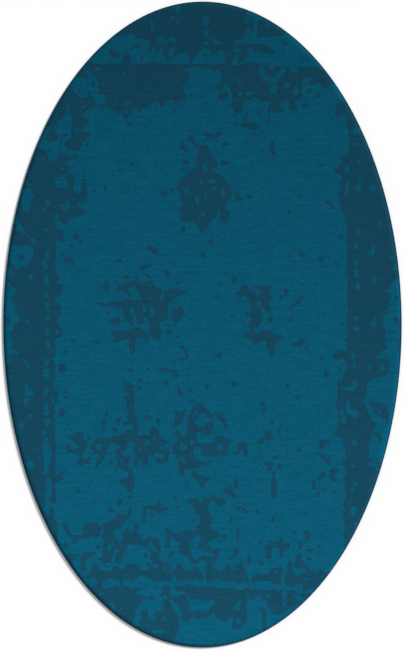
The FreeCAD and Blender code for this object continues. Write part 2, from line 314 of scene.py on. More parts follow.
# ---------------------------------------------------------------- rim cord and serging
# A soft cotton cord runs round the rim, and yarn is wound over it and the backing in
# tight slanting turns.  Both are ropes: a round section that swells and pinches.
def rim_rope(name, inset, height, half_thick, half_tall, turn_pitch, swell, slant, step, sides):
    """A closed rope along the rim.  Its strands slant round it at the given pitch."""
    turns = even_turns(inset, step)
    n = len(turns)
    run = np.arange(n) * (2 * math.pi * round(n * step / turn_pitch) / n)
    around = np.arange(sides) * 2 * math.pi / sides
    x, y, dx, dy = np.array([rim_point(inset, k) for k in turns]).T
    phase = run[:, None] + slant * np.sin(around)[None, :]
    grow = 1 - swell * (1 - np.abs(np.sin(phase / 2)))
    out = half_thick * np.cos(around)[None, :] * grow
    rise = half_tall * np.sin(around)[None, :] * grow
    px = x[:, None] + out * dy[:, None]
    py = y[:, None] - out * dx[:, None]
    points = np.stack([px, py, height + rise], axis=2).reshape(-1, 3)
    i, j = np.meshgrid(np.arange(n), np.arange(sides), indexing="ij")
    a, b = (i + 1) % n, (j + 1) % sides
    faces = np.stack([i * sides + j, i * sides + b, a * sides + b, a * sides + j], axis=2)
    rope = new_piece(name, points.tolist(), faces.reshape(-1, 4).tolist())
    rope.data.shade_smooth()
    bm = bmesh.new()
    bm.from_mesh(rope.data)
    bmesh.ops.recalc_face_normals(bm, faces=bm.faces)
    bm.to_mesh(rope.data)
    bm.free()
    return rope


cord_low, cord_high = box_of("edge_cord")
ROLL_WIDE = 6 * mm
cord = rim_rope("rim_cord", ROLL_WIDE / 2, (cord_low + cord_high) / 2, half_thick=1.5 * mm,
                half_tall=1.5 * mm, turn_pitch=7 * mm, swell=0.12, slant=1.2, step=2.4 * mm,
                sides=10)
# pale cotton like the canvas's, twisted rather than woven
finish_piece(cord, cloth("cotton_cord", "d8cfb8", "a99f86", 1.5 * mm), "cotton_cord", "edge_cord")

STREAKS = (12, 90, 1)                # soft streaks to the metre, along and across the rows
FIBRES = 900.0                       # to the metre; real ones are too fine to show
TUFT_SHARE, STREAK_SHARE = 0.45, 0.9
DARKEST, LIGHTEST = 0.75, 1.6
# painted light: the yarn's colour is scaled by these from the head of the rug to its foot, so the
# foot looks lit and the head shaded
PAINTED_SHADE_AT_HEAD, PAINTED_LIGHT_AT_FOOT = 0.775, 1.3


def yarn(name, light, dark, tuft=4.5 * mm):
    """Wool-like pile yarn, deep and dull, as light sinks in between its fibres.  Each tuft
    takes its own shade and soft streaks lie along the rows.  The colour is also scaled from
    dark at the head of the rug to light at its foot, a painted light gradient."""
    mat, t = new_material(name)
    place = add(t, "ShaderNodeTexCoord")
    rows = add(t, "ShaderNodeMapping", {"Vector": place.outputs["Object"], "Scale": STREAKS})
    streak = add(t, "ShaderNodeTexNoise", {"Vector": rows.outputs[0], "Scale": 1.0, "Detail": 3.0})
    tufts = add(t, "ShaderNodeTexVoronoi", {"Vector": place.outputs["Object"], "Scale": 1 / tuft,
                                            "Randomness": 0.9})
    own = add(t, "ShaderNodeSeparateColor", {"Color": tufts.outputs["Color"]})
    fibre = add(t, "ShaderNodeTexNoise", {"Vector": place.outputs["Object"], "Scale": FIBRES,
                                          "Detail": 2.0})
    part = add(t, "ShaderNodeMath", {0: own.outputs[0], 1: TUFT_SHARE, 2: fibre.outputs["Fac"]},
               operation="MULTIPLY_ADD")
    blend = add(t, "ShaderNodeMath", {0: streak.outputs["Fac"], 1: STREAK_SHARE,
                                      2: part.outputs[0]}, operation="MULTIPLY_ADD")
    shade = add(t, "ShaderNodeMapRange", {"Value": blend.outputs[0], "From Min": DARKEST,
                                          "From Max": LIGHTEST})
    colour = add(t, "ShaderNodeMix", {"Factor": shade.outputs[0], 6: linear(dark),
                                      7: linear(light)}, data_type="RGBA")
    split = add(t, "ShaderNodeSeparateXYZ", {"Vector": place.outputs["Object"]})
    # painted light gradient along the rug's length: darker at the head, lighter at the foot
    painted_light_ramp = add(t, "ShaderNodeMapRange", {"Value": split.outputs["Y"], "From Min": HALF_LONG,
                                        "From Max": -HALF_LONG, "To Min": PAINTED_SHADE_AT_HEAD,
                                        "To Max": PAINTED_LIGHT_AT_FOOT})
    painted_light_colour = add(t, "ShaderNodeVectorMath", {0: colour.outputs[2], "Scale": painted_light_ramp.outputs[0]},
                operation="SCALE")
    fuzz = add(t, "ShaderNodeMath", {0: tufts.outputs["Distance"], 1: -1.6,
                                     2: fibre.outputs["Fac"]}, operation="MULTIPLY_ADD")
    bump = add(t, "ShaderNodeBump", {"Height": fuzz.outputs[0], "Distance": 0.9 * mm,
                                     "Strength": 0.7})
    shader = add(t, "ShaderNodeBsdfPrincipled",
                 {"Base Color": painted_light_colour.outputs[0], "Roughness": 0.92, "Normal": bump.outputs[0],
                  "Specular IOR Level": 0.03, "Sheen Weight": 0.1, "Sheen Roughness": 0.5,
                  "Sheen Tint": linear("1c6f8c")})
    add(t, "ShaderNodeOutputMaterial", {"Surface": shader.outputs[0]})
    return mat


roll_low, roll_high = box_of("serging_yarn")
ROLL_LIFT = 0.1 * mm
SERGING_STRAND = 1.5 * mm            # the overcast yarn is wound tight, so its tufts are small
serging = rim_rope("serged_edge", ROLL_WIDE / 2, (roll_low + roll_high) / 2 + ROLL_LIFT,
                   half_thick=ROLL_WIDE / 2, half_tall=(roll_high - roll_low) / 2,
                   turn_pitch=2.8 * mm, swell=0.16, slant=1.4, step=0.95 * mm, sides=12)
finish_piece(serging, yarn("overcast_yarn", "0d4c64", "083e52", tuft=SERGING_STRAND), "edge_yarn",
             "serging_yarn")


# ---------------------------------------------------------------- pile pattern
# Where the dark yarn stands, in millimetres from the middle of the rug.  It is a worn
# border, two panels and a column of floral motifs, tufted beside the light yarn.  Outlines
# are straight runs; spots are x, y, half width, half height and a lean in degrees.
DARK = {
    "border_pile_top": [
        [(-345, 1092), (-300, 1086), (-277, 1097), (-256, 1096), (-248, 1078), (-243, 1078),
         (-236, 1091), (-224, 1077), (-205, 1072), (-197, 1062), (-208, 1050), (-207, 1027),
         (-196, 1029), (-194, 1047), (-180, 1046), (-176, 1026), (-168, 1026), (-163, 1046),
         (-150, 1046), (-150, 1028), (-144, 1012), (-132, 1000), (-122, 998), (-114, 1000),
         (-104, 1012), (-98, 1022), (-86, 1022), (-76, 1024), (-62, 1038), (-54, 1018),
         (-50, 986), (-44, 986), (-40, 1000), (-30, 1010), (-18, 1018), (-8, 1036), (4, 1047),
         (24, 1042), (36, 1014), (52, 1030), (76, 1038), (84, 1018), (90, 985), (146, 985),
         (148, 998), (160, 1002), (168, 1016), (170, 1034), (184, 1030), (200, 1026), (214, 1034),
         (232, 1028), (250, 1022), (270, 1020), (280, 1030), (262, 1042), (250, 1057),
         (200, 1064), (140, 1061), (124, 1065), (126, 1078), (150, 1084), (161, 1090),
         (161, 1108), (172, 1122), (172, 1138), (158, 1145), (156, 1158), (168, 1176),
         (176, 1260), (-380, 1260)],
        [(214, 1162), (212, 1136), (207, 1126), (203, 1082), (216, 1080), (234, 1091),
         (256, 1086), (288, 1090), (303, 1089), (316, 1100), (350, 1260), (205, 1260)],
        [(-353, 1036), (-340, 1046), (-324, 1034), (-311, 1028), (-311, 1013), (-330, 1004),
         (-350, 1008), (-346, 1018), (-352, 1028)],
        [(-308, 985), (-303, 1005), (-298, 1032), (-290, 1038), (-280, 1036), (-270, 1012),
         (-264, 985)]],
    "panel_pile_left": [
        [(-470, 990), (-300, 987), (-206, 987), (-196, 994), (-190, 1000), (-180, 996),
         (-172, 988), (-150, 986), (95, 984), (95, 966), (40, 964), (32, 972), (-10, 971),
         (-62, 968), (-70, 962), (-46, 950), (-46, 934), (-64, 916), (-84, 894), (-68, 880),
         (-60, 864), (-76, 840), (-98, 838), (-104, 834), (-108, 846), (-124, 850), (-136, 842),
         (-140, 830), (-146, 822), (-158, 822), (-166, 834), (-182, 841), (-196, 834),
         (-204, 822), (-224, 822), (-232, 808), (-242, 800), (-252, 818), (-262, 814),
         (-268, 798), (-282, 788), (-278, 776), (-282, 764), (-296, 774), (-304, 796),
         (-316, 800), (-324, 786), (-334, 804), (-350, 818), (-372, 826), (-370, 846),
         (-362, 862), (-368, 870), (-378, 866), (-392, 872), (-395, 898), (-402, 934),
         (-424, 950), (-440, 966), (-470, 984)],
        [(-470, 962), (-440, 962), (-424, 948), (-410, 934), (-432, 930), (-462, 932),
         (-480, 950)],
        [(-122, 824), (-108, 822), (-98, 818), (-96, 796), (-104, 798), (-110, 810)]],
    "panel_pile_right": [
        [(95, 986), (116, 984), (122, 976), (138, 978), (146, 986), (196, 992), (204, 994),
         (212, 980), (222, 974), (238, 982), (248, 982), (254, 972), (262, 960), (270, 962),
         (272, 974), (330, 974), (338, 952), (354, 954), (360, 974), (380, 972), (404, 974),
         (440, 970), (460, 962), (520, 940), (520, 908), (490, 908), (472, 902), (464, 892),
         (456, 892), (452, 902), (440, 914), (420, 906), (404, 902), (396, 906), (408, 916),
         (412, 928), (396, 936), (380, 930), (374, 912), (376, 890), (380, 870), (374, 850),
         (362, 846), (350, 838), (336, 836), (324, 838), (318, 848), (306, 848), (298, 836),
         (290, 838), (266, 838), (262, 832), (254, 842), (240, 844), (222, 843), (212, 848),
         (196, 856), (176, 850), (156, 834), (150, 806), (140, 796), (124, 798), (116, 806),
         (118, 818), (106, 820), (106, 834), (114, 846), (112, 870), (104, 894), (92, 912),
         (82, 906), (84, 892), (62, 886), (46, 904), (66, 918), (74, 934), (74, 950), (66, 960),
         (36, 964), (28, 970), (28, 986)],
        [(58, 866), (66, 874), (82, 878), (94, 882), (100, 872), (98, 856), (88, 846), (66, 844)],
        [(256, 840), (250, 818), (254, 806), (268, 804), (296, 794), (312, 808), (294, 822),
         (290, 846)],
        [(326, 836), (342, 838), (358, 828), (358, 806), (346, 804), (334, 808), (326, 814)],
        [(152, 762), (164, 764), (172, 786), (176, 802), (168, 802), (156, 782)],
        [(202, 810), (220, 808), (222, 796), (216, 782), (208, 786)]],
    "border_pile_left": [
        [(-530, 905), (-492, 892), (-476, 868), (-458, 855), (-436, 862), (-433, 886),
         (-426, 884), (-422, 864), (-406, 846), (-404, 830), (-420, 816), (-436, 808),
         (-450, 796), (-452, 784), (-430, 780), (-422, 768), (-440, 756), (-452, 742),
         (-446, 728), (-426, 732), (-422, 714), (-444, 700), (-452, 694), (-456, 672),
         (-470, 656), (-488, 656), (-514, 664), (-527, 688), (-504, 702), (-496, 710),
         (-494, 770), (-500, 800), (-516, 792), (-545, 768), (-560, 740), (-552, 722),
         (-545, 712), (-552, 694), (-604, 692), (-598, 716), (-582, 736), (-592, 762),
         (-640, 760), (-720, 800), (-640, 905)],
        [(-536, 722), (-508, 724), (-508, 714), (-520, 710), (-536, 714)],
        [(-700, 668), (-612, 664), (-588, 652), (-582, 626), (-570, 612), (-556, 618),
         (-546, 642), (-530, 656), (-520, 640), (-498, 632), (-478, 642), (-476, 632),
         (-492, 622), (-506, 616), (-518, 606), (-510, 600), (-508, 600), (-500, 588),
         (-516, 578), (-500, 570), (-484, 562), (-484, 536), (-490, 504), (-478, 492),
         (-462, 496), (-459, 526), (-454, 552), (-442, 552), (-444, 528), (-432, 508),
         (-438, 476), (-456, 462), (-474, 458), (-472, 446), (-452, 440), (-446, 412),
         (-470, 410), (-500, 403), (-512, 382), (-528, 378), (-544, 396), (-548, 416),
         (-562, 412), (-556, 358), (-536, 362), (-527, 350), (-525, 308), (-536, 308),
         (-544, 322), (-553, 318), (-553, 300), (-558, 250), (-554, 204), (-548, 192),
         (-540, 178), (-541, 166), (-556, 160), (-548, 150), (-530, 152), (-528, 120),
         (-546, 110), (-559, 95), (-552, 82), (-536, 74), (-536, 30), (-553, 20), (-550, 6),
         (-533, -4), (-527, -42), (-550, -52), (-560, -66), (-553, -84), (-554, -112),
         (-552, -122), (-564, -126), (-562, -140), (-556, -170), (-557, -200), (-567, -222),
         (-560, -248), (-548, -254), (-543, -272), (-544, -292), (-560, -302), (-557, -352),
         (-563, -396), (-556, -450), (-554, -520), (-560, -540), (-552, -566), (-540, -562),
         (-522, -550), (-514, -556), (-528, -570), (-526, -588), (-540, -592), (-554, -602),
         (-556, -640), (-550, -662), (-562, -690), (-560, -722), (-560, -738), (-550, -750),
         (-546, -780), (-548, -830), (-536, -856), (-520, -868), (-470, -870), (-466, -878),
         (-494, -898), (-482, -924), (-456, -956), (-437, -985), (-560, -1000), (-800, -700),
         (-800, 500)],
        [(-534, 782), (-528, 762), (-516, 760), (-516, 745)]],
    "border_pile_right": [
        [(501, 806), (504, 790), (512, 780), (520, 784), (528, 794), (544, 800), (548, 780),
         (546, 760), (548, 740), (553, 700), (555, 664), (547, 640), (530, 637), (522, 626),
         (530, 606), (503, 594), (499, 584), (502, 572), (526, 564), (522, 542), (518, 520),
         (530, 510), (514, 500), (516, 470), (521, 450), (528, 430), (538, 416), (545, 380),
         (547, 300), (548, 40), (548, -18), (557, -36), (548, -52), (536, -57), (550, -72),
         (550, -98), (534, -100), (524, -90), (514, -100), (508, -112), (488, -108), (490, -122),
         (502, -136), (514, -141), (534, -131), (544, -150), (548, -170), (534, -186),
         (528, -204), (508, -212), (512, -240), (507, -262), (512, -282), (505, -310),
         (512, -342), (514, -372), (504, -400), (497, -416), (504, -426), (520, -418),
         (530, -428), (531, -442), (536, -470), (545, -502), (530, -520), (535, -540),
         (546, -556), (540, -580), (530, -594), (540, -612), (545, -650), (534, -670),
         (532, -730), (540, -768), (534, -790), (540, -812), (534, -850), (700, -860),
         (700, -530), (676, -520), (652, -514), (636, -506), (622, -502), (632, -486),
         (625, -468), (630, -444), (642, -428), (640, -412), (656, -398), (650, -390),
         (660, -384), (646, -366), (630, -340), (618, -308), (612, -286), (622, -268),
         (620, -232), (630, -215), (656, -205), (690, -195), (704, -184), (712, -150),
         (696, -126), (664, -128), (656, -122), (672, -114), (684, -100), (700, -90), (692, -74),
         (698, -58), (690, -42), (696, -24), (684, -16), (684, 34), (702, 36), (712, 46),
         (701, 58), (703, 78), (712, 108), (700, 118), (684, 126), (704, 128), (714, 150),
         (722, 166), (760, 172), (760, 862), (545, 856), (530, 844), (506, 832)],
        [(622, -290), (650, -294), (690, -300), (704, -312), (704, -376), (690, -360),
         (664, -344), (644, -324), (630, -306)],
        [(650, -408), (672, -408), (673, -425), (682, -446), (668, -444), (660, -426),
         (644, -418)],
        [(715, 26), (732, 30), (750, 10), (750, -120), (740, -98), (740, -40), (745, -28),
         (738, -10), (738, 4), (724, 6)]],
    "border_stripe_bottom": [
        [(-412, -906), (-398, -902), (-392, -920), (-378, -932), (-350, -934), (-336, -916),
         (-324, -912), (-306, -930), (-290, -918), (-284, -906), (-252, -904), (-240, -912),
         (-236, -932), (-206, -928), (-204, -906), (-194, -906), (-186, -924), (-172, -924),
         (-160, -903), (-146, -896), (-134, -900), (-124, -912), (-118, -930), (-102, -926),
         (-92, -898), (-84, -908), (-76, -924), (-60, -930), (-34, -924), (-24, -918),
         (-12, -928), (2, -944), (10, -934), (14, -910), (22, -902), (36, -900), (42, -922),
         (60, -934), (86, -926), (90, -908), (104, -908), (112, -930), (124, -916), (132, -904),
         (152, -904), (166, -938), (176, -958), (186, -962), (196, -946), (216, -942),
         (244, -946), (254, -930), (262, -922), (274, -919), (300, -916), (302, -940),
         (314, -950), (322, -938), (320, -910), (322, -894), (330, -894), (340, -908),
         (352, -900), (356, -888), (370, -900), (378, -906), (398, -920), (418, -932),
         (424, -946), (434, -930), (452, -928), (474, -944), (540, -960), (440, -1004),
         (410, -1004), (398, -1010), (372, -1012), (378, -998), (366, -986), (352, -988),
         (338, -992), (310, -986), (302, -960), (290, -984), (268, -984), (250, -972),
         (226, -969), (212, -972), (196, -982), (182, -974), (172, -986), (162, -972),
         (150, -974), (138, -982), (118, -970), (104, -978), (92, -970), (60, -964), (40, -966),
         (26, -980), (8, -972), (-16, -968), (-36, -974), (-60, -970), (-74, -978), (-92, -974),
         (-102, -952), (-110, -944), (-120, -974), (-140, -966), (-166, -976), (-186, -978),
         (-198, -962), (-222, -948), (-236, -946), (-244, -964), (-262, -968), (-282, -962),
         (-300, -960), (-316, -966), (-336, -962), (-360, -966), (-384, -976), (-399, -978),
         (-404, -968), (-414, -960), (-424, -964), (-430, -974), (-438, -962), (-452, -946),
         (-430, -944), (-420, -920)],
        [(-310, -960), (-299, -958), (-299, -990), (-308, -998), (-310, -985)],
        [(-399, -966), (-384, -972), (-382, -986), (-400, -980)]],
    "border_pile_bottom": [
        [(-470, -985), (-432, -985), (-424, -996), (-414, -984), (-400, -978), (-384, -986),
         (-372, -1002), (-360, -994), (-340, -996), (-322, -986), (-310, -998), (-298, -986),
         (-280, -992), (-270, -1002), (-256, -992), (-240, -996), (-226, -1008), (-246, -1010),
         (-258, -1016), (-250, -1024), (-226, -1024), (-214, -1030), (-206, -1034), (-198, -1024),
         (-186, -1024), (-180, -1036), (-172, -1040), (-150, -1046), (-140, -1034), (-126, -1036),
         (-124, -1046), (-118, -1058), (-112, -1076), (-104, -1088), (-92, -1096), (-90, -1112),
         (-88, -1140), (-88, -1164), (-100, -1172), (-106, -1200), (-100, -1300), (-600, -1300)],
        [(-106, -992), (-108, -1000), (-104, -1010), (-92, -1010), (-80, -1008), (-70, -1011),
         (-68, -1018), (-82, -1022), (-96, -1026), (-108, -1028), (-116, -1034), (-106, -1050),
         (-92, -1064), (-80, -1076), (-80, -1108), (-70, -1124), (-62, -1130), (-48, -1118),
         (-44, -1106), (-30, -1104), (-20, -1118), (0, -1110), (22, -1108), (36, -1098),
         (44, -1090), (52, -1110), (74, -1122), (92, -1124), (104, -1104), (108, -1096),
         (116, -1110), (112, -1150), (128, -1150), (150, -1152), (152, -1134), (166, -1128),
         (170, -1106), (164, -1080), (168, -1040), (172, -1022), (178, -1024), (178, -1040),
         (186, -1044), (210, -1034), (216, -1026), (226, -1042), (240, -1046), (250, -1076),
         (262, -1092), (280, -1100), (302, -1096), (320, -1082), (340, -1074), (358, -1060),
         (362, -1076), (420, -1040), (436, -1004), (418, -998), (404, -1000), (400, -1014),
         (380, -1016), (352, -1008), (326, -1006), (312, -1010), (300, -1000), (286, -1012),
         (270, -996), (244, -1006), (226, -998), (212, -1010), (200, -1000), (184, -1004),
         (170, -994), (140, -1004), (112, -994), (84, -1000), (60, -994), (36, -990), (0, -988),
         (-18, -998), (-36, -988), (-48, -980), (-60, -980), (-66, -990), (-90, -990)],
        [(214, -1072), (238, -1072), (246, -1088), (240, -1104), (236, -1128), (246, -1146),
         (262, -1150), (262, -1300), (220, -1300), (227, -1150), (225, -1100)],
        [(-100, -1206), (-50, -1208), (20, -1212), (80, -1209), (150, -1196), (222, -1164),
         (330, -1300), (-120, -1300)],
        [(-152, -986), (-138, -985), (-124, -990), (-120, -1004), (-122, -1016), (-118, -1026),
         (-114, -1032), (-112, -1038), (-124, -1042), (-126, -1036), (-132, -1030), (-140, -1027),
         (-150, -1024), (-166, -1032), (-166, -1024), (-154, -1018), (-150, -1008), (-154, -998)],
        [(-183, -1012), (-180, -1016), (-186, -1004), (-184, -994), (-172, -984), (-166, -986),
         (-174, -996), (-178, -1004)]],
    "medallion_pile": [
        [(0, 681), (15, 679), (26, 660), (40, 641), (52, 621), (58, 600), (54, 590), (45, 588),
         (46, 575), (66, 569), (86, 555), (100, 536), (110, 515), (112, 491), (100, 466),
         (88, 455), (84, 440), (92, 434), (110, 422), (100, 406), (98, 384), (80, 388), (60, 384),
         (62, 396), (50, 404), (38, 398), (31, 385), (20, 370), (0, 340), (-6, 346), (-14, 364),
         (-26, 380), (-44, 388), (-58, 390), (-84, 384), (-84, 400), (-84, 420), (-94, 440),
         (-72, 450), (-78, 462), (-90, 480), (-84, 496), (-90, 508), (-102, 516), (-94, 534),
         (-80, 550), (-66, 565), (-50, 575), (-38, 584), (-22, 592), (-28, 610), (-24, 630),
         (-14, 655), (-6, 676)],
        [(-60, 710), (-46, 721), (-29, 712), (-30, 695), (-14, 680), (-4, 671), (-12, 661),
         (-28, 668), (-42, 690), (-55, 700)],
        [(-90, 684), (-78, 690), (-64, 682), (-60, 670), (-52, 660), (-58, 650), (-72, 660),
         (-90, 662)],
        [(-80, 622), (-70, 627), (-52, 618), (-48, 606), (-60, 602), (-74, 610)]],
    "spray_pile_left": [
        [(-330, 164), (-319, 165), (-311, 150), (-296, 158), (-284, 160), (-266, 168),
         (-240, 162), (-228, 150), (-214, 160), (-200, 166), (-184, 162), (-188, 150),
         (-176, 142), (-158, 138), (-154, 120), (-162, 92), (-146, 94), (-146, 112), (-142, 126),
         (-128, 136), (-100, 135), (-80, 124), (-68, 130), (-62, 122), (-74, 112), (-90, 110),
         (-106, 98), (-122, 88), (-132, 76), (-130, 60), (-128, 34), (-138, 18), (-155, 10),
         (-164, 4), (-160, -14), (-151, -26), (-157, -50), (-176, -60), (-192, -54), (-204, -34),
         (-206, -54), (-200, -74), (-214, -66), (-230, -50), (-252, -52), (-253, -80),
         (-256, -104), (-265, -119), (-274, -108), (-279, -85), (-276, -58), (-292, -54),
         (-310, -60), (-322, -71), (-345, -74), (-342, -58), (-328, -52), (-344, -38),
         (-342, -22), (-326, -22), (-315, -26), (-298, -20), (-280, -22), (-262, -15), (-250, -9),
         (-234, -12), (-227, -22), (-214, -33), (-202, -27), (-198, -8), (-208, 14), (-210, 30),
         (-222, 34), (-224, 4), (-236, 0), (-246, 6), (-256, 24), (-258, 4), (-268, -5),
         (-280, 6), (-290, 18), (-296, 6), (-304, 12), (-300, 40), (-304, 58), (-300, 76),
         (-312, 62), (-340, 68), (-360, 70), (-384, 68), (-398, 78), (-378, 84), (-350, 78),
         (-342, 98), (-330, 88), (-304, 92), (-284, 100), (-262, 94), (-232, 92), (-228, 104),
         (-248, 108), (-246, 124), (-256, 142), (-284, 142), (-276, 122), (-268, 108),
         (-282, 110), (-300, 126), (-326, 124), (-328, 132), (-314, 146)],
        [(-374, 150), (-365, 166), (-357, 160), (-352, 140), (-355, 125), (-373, 128)],
        [(-357, 20), (-330, 22), (-315, 35), (-307, 20), (-310, 4), (-330, -2), (-344, 0)],
        [(-116, 56), (-96, 60), (-84, 72), (-74, 74), (-72, 52), (-64, 35), (-80, 22), (-95, 1),
         (-110, 2), (-118, 20)],
        [(-367, 48), (-356, 53), (-345, 44), (-350, 32), (-360, 36)],
        [(-240, 208), (-231, 225), (-195, 227), (-190, 216), (-215, 213), (-235, 205)],
        [(-148, 216), (-135, 205), (-121, 206), (-128, 180), (-138, 177), (-142, 195)],
        [(-224, 188), (-210, 192), (-198, 182), (-200, 168), (-208, 170), (-212, 180)],
        [(-216, 290), (-196, 300), (-180, 290), (-163, 272), (-164, 256), (-184, 265),
         (-206, 275)]],
    "spray_pile_right": [
        [(120, 118), (130, 125), (142, 128), (143, 150), (168, 152), (172, 142), (188, 126),
         (196, 130), (196, 147), (222, 146), (266, 146), (258, 130), (253, 118), (266, 105),
         (260, 95), (249, 82), (258, 66), (259, 46), (250, 38), (243, 46), (235, 62), (222, 58),
         (218, 40), (226, 15), (215, -13), (230, -18), (256, -22), (276, -35), (301, -42),
         (290, -55), (293, -68), (274, -75), (273, -100), (273, -121), (264, -129), (255, -115),
         (252, -96), (240, -85), (241, -66), (226, -60), (206, -75), (188, -76), (184, -56),
         (170, -50), (157, -56), (149, -42), (155, -32), (180, -28), (178, -10), (172, 4),
         (186, 20), (182, 30), (164, 32), (144, 46), (160, 44), (186, 42), (180, 70), (172, 95),
         (158, 119), (148, 94), (138, 94), (135, 110)],
        [(110, 150), (112, 175), (125, 179), (140, 174), (124, 164), (119, 150)],
        [(50, 150), (52, 164), (59, 157), (72, 159), (80, 167), (78, 151), (65, 146)],
        [(354, 76), (365, 76), (384, 104), (381, 114), (372, 108), (361, 94), (350, 80)],
        [(328, 48), (338, 46), (344, 64), (357, 74), (350, 80), (336, 72), (327, 62)],
        [(338, -74), (346, -68), (364, -65), (374, -52), (385, -54), (391, -68), (376, -78),
         (355, -86), (340, -83)]],
    "stem_pile": [
        [(-310, -208), (-300, -206), (-288, -220), (-276, -216), (-262, -236), (-256, -262),
         (-257, -330), (-250, -350), (-248, -368), (-238, -380), (-246, -412), (-300, -416),
         (-286, -404), (-284, -388), (-300, -386), (-300, -368), (-282, -362), (-284, -342),
         (-284, -328), (-288, -292), (-300, -284), (-302, -272), (-286, -268), (-276, -254),
         (-292, -252), (-298, -236), (-298, -218)]],
    "cluster_pile_left": [
        [(-500, -424), (-484, -422), (-474, -406), (-455, -404), (-450, -426), (-437, -444),
         (-438, -470), (-450, -484), (-452, -502), (-466, -508), (-478, -492), (-498, -486),
         (-498, -474), (-480, -472), (-466, -462), (-474, -450), (-488, -446)],
        [(-508, -418), (-494, -422), (-498, -440), (-508, -434)],
        [(-516, -460), (-508, -452), (-498, -456), (-498, -482), (-512, -486), (-515, -470)],
        [(-478, -514), (-464, -512), (-458, -500), (-450, -512), (-436, -508), (-424, -492),
         (-424, -530), (-438, -526), (-460, -537), (-474, -526)],
        [(-438, -416), (-424, -420), (-420, -436), (-430, -440)],
        [(-425, -470), (-422, -452), (-406, -434), (-380, -430), (-346, -428), (-340, -418),
         (-316, -418), (-300, -412), (-290, -402), (-256, -402), (-250, -414), (-236, -420),
         (-218, -418), (-204, -422), (-200, -404), (-200, -386), (-184, -382), (-172, -392),
         (-162, -404), (-160, -424), (-140, -438), (-136, -446), (-146, -458), (-156, -468),
         (-146, -474), (-136, -466), (-126, -474), (-124, -490), (-130, -520), (-146, -526),
         (-172, -528), (-178, -512), (-170, -498), (-160, -506), (-148, -510), (-146, -496),
         (-168, -486), (-180, -486), (-188, -500), (-198, -494), (-206, -482), (-204, -526),
         (-222, -532), (-228, -546), (-232, -520), (-240, -506), (-242, -528), (-252, -540),
         (-262, -530), (-260, -510), (-268, -500), (-276, -520), (-284, -542), (-276, -556),
         (-300, -556), (-310, -542), (-322, -544), (-330, -560), (-338, -562), (-330, -540),
         (-322, -510), (-328, -486), (-336, -500), (-350, -488), (-364, -490), (-372, -500),
         (-378, -520), (-394, -530), (-402, -548), (-412, -544), (-400, -520), (-388, -500),
         (-402, -492), (-420, -488), (-410, -478)],
        [(-398, -408), (-380, -400), (-362, -396), (-366, -406), (-384, -414)],
        [(-332, -374), (-328, -356), (-312, -352), (-306, -362), (-318, -376)],
        [(-222, -356), (-218, -342), (-208, -338), (-202, -350), (-190, -346), (-186, -352),
         (-200, -360), (-210, -362)]],
    "drop_pile": [
        [(-284, -546), (-266, -540), (-266, -560), (-262, -574), (-254, -590), (-257, -612),
         (-266, -636), (-276, -638), (-288, -620), (-306, -606), (-314, -592), (-304, -586),
         (-288, -584), (-280, -566)],
        [(-284, -650), (-268, -644), (-268, -656), (-278, -660)]],
    "cluster_pile_middle": [
        [(-114, -392), (-106, -372), (-104, -346), (-100, -324), (-92, -326), (-86, -334),
         (-78, -334), (-72, -318), (-64, -318), (-64, -345), (-74, -360), (-80, -376),
         (-92, -384)],
        [(-70, -420), (-60, -404), (-54, -390), (-60, -366), (-52, -344), (-42, -328),
         (-34, -310), (-22, -302), (-4, -300), (12, -314), (26, -330), (38, -342), (42, -354),
         (30, -358), (18, -346), (6, -332), (0, -336), (-12, -346), (-22, -358), (-36, -366),
         (-30, -372), (-18, -380), (0, -390), (14, -382), (20, -370), (42, -368), (44, -380),
         (34, -396), (34, -420), (20, -420), (4, -416), (-8, -404), (-20, -412), (-22, -424),
         (-16, -446), (-4, -450), (20, -454), (44, -446), (43, -426), (60, -426), (76, -418),
         (86, -432), (108, -442), (110, -452), (100, -460), (98, -490), (86, -497), (60, -497),
         (24, -502), (8, -498), (-6, -482), (-6, -464), (-30, -462), (-34, -480), (-30, -500),
         (-20, -516), (0, -520), (30, -522), (28, -532), (0, -534), (-24, -544), (-50, -544),
         (-66, -550), (-64, -572), (-84, -572), (-88, -540), (-96, -512), (-78, -498),
         (-64, -508), (-62, -520), (-70, -526), (-84, -514), (-98, -500), (-110, -490),
         (-116, -458), (-108, -450), (-96, -448), (-92, -434), (-102, -424), (-100, -400),
         (-86, -404), (-82, -420)],
        [(42, -332), (74, -332), (86, -350), (90, -370), (98, -392), (94, -402), (80, -390),
         (70, -368), (52, -354)],
        [(132, -446), (150, -442), (168, -452), (172, -480), (172, -504), (162, -506),
         (156, -480), (148, -470), (138, -470), (134, -492), (118, -500), (116, -494),
         (130, -480)]],
    "foot_pile_left": [
        [(-380, -756), (-360, -747), (-330, -738), (-328, -718), (-312, -714), (-290, -724),
         (-282, -710), (-276, -692), (-266, -692), (-264, -712), (-272, -730), (-292, -744),
         (-306, -764), (-312, -782), (-320, -776), (-332, -772), (-336, -786), (-324, -800),
         (-308, -820), (-302, -806), (-300, -784), (-288, -766), (-276, -776), (-268, -786),
         (-258, -766), (-252, -746), (-242, -750), (-246, -780), (-236, -800), (-226, -816),
         (-204, -804), (-176, -806), (-170, -830), (-172, -856), (-180, -862), (-184, -838),
         (-196, -822), (-208, -838), (-220, -846), (-230, -838), (-246, -832), (-282, -834),
         (-288, -860), (-300, -872), (-304, -898), (-318, -912), (-330, -896), (-336, -910),
         (-346, -900), (-366, -904), (-396, -894), (-398, -884), (-380, -880), (-378, -850),
         (-372, -822), (-384, -806)],
        [(-226, -862), (-216, -862), (-208, -874), (-206, -888), (-214, -888), (-222, -876)],
        [(-538, -754), (-522, -750), (-510, -758), (-506, -778), (-494, -794), (-474, -798),
         (-452, -794), (-452, -760), (-440, -752), (-424, -750), (-400, -752), (-384, -762),
         (-382, -786), (-396, -806), (-420, -806), (-444, -808), (-470, -816), (-480, -832),
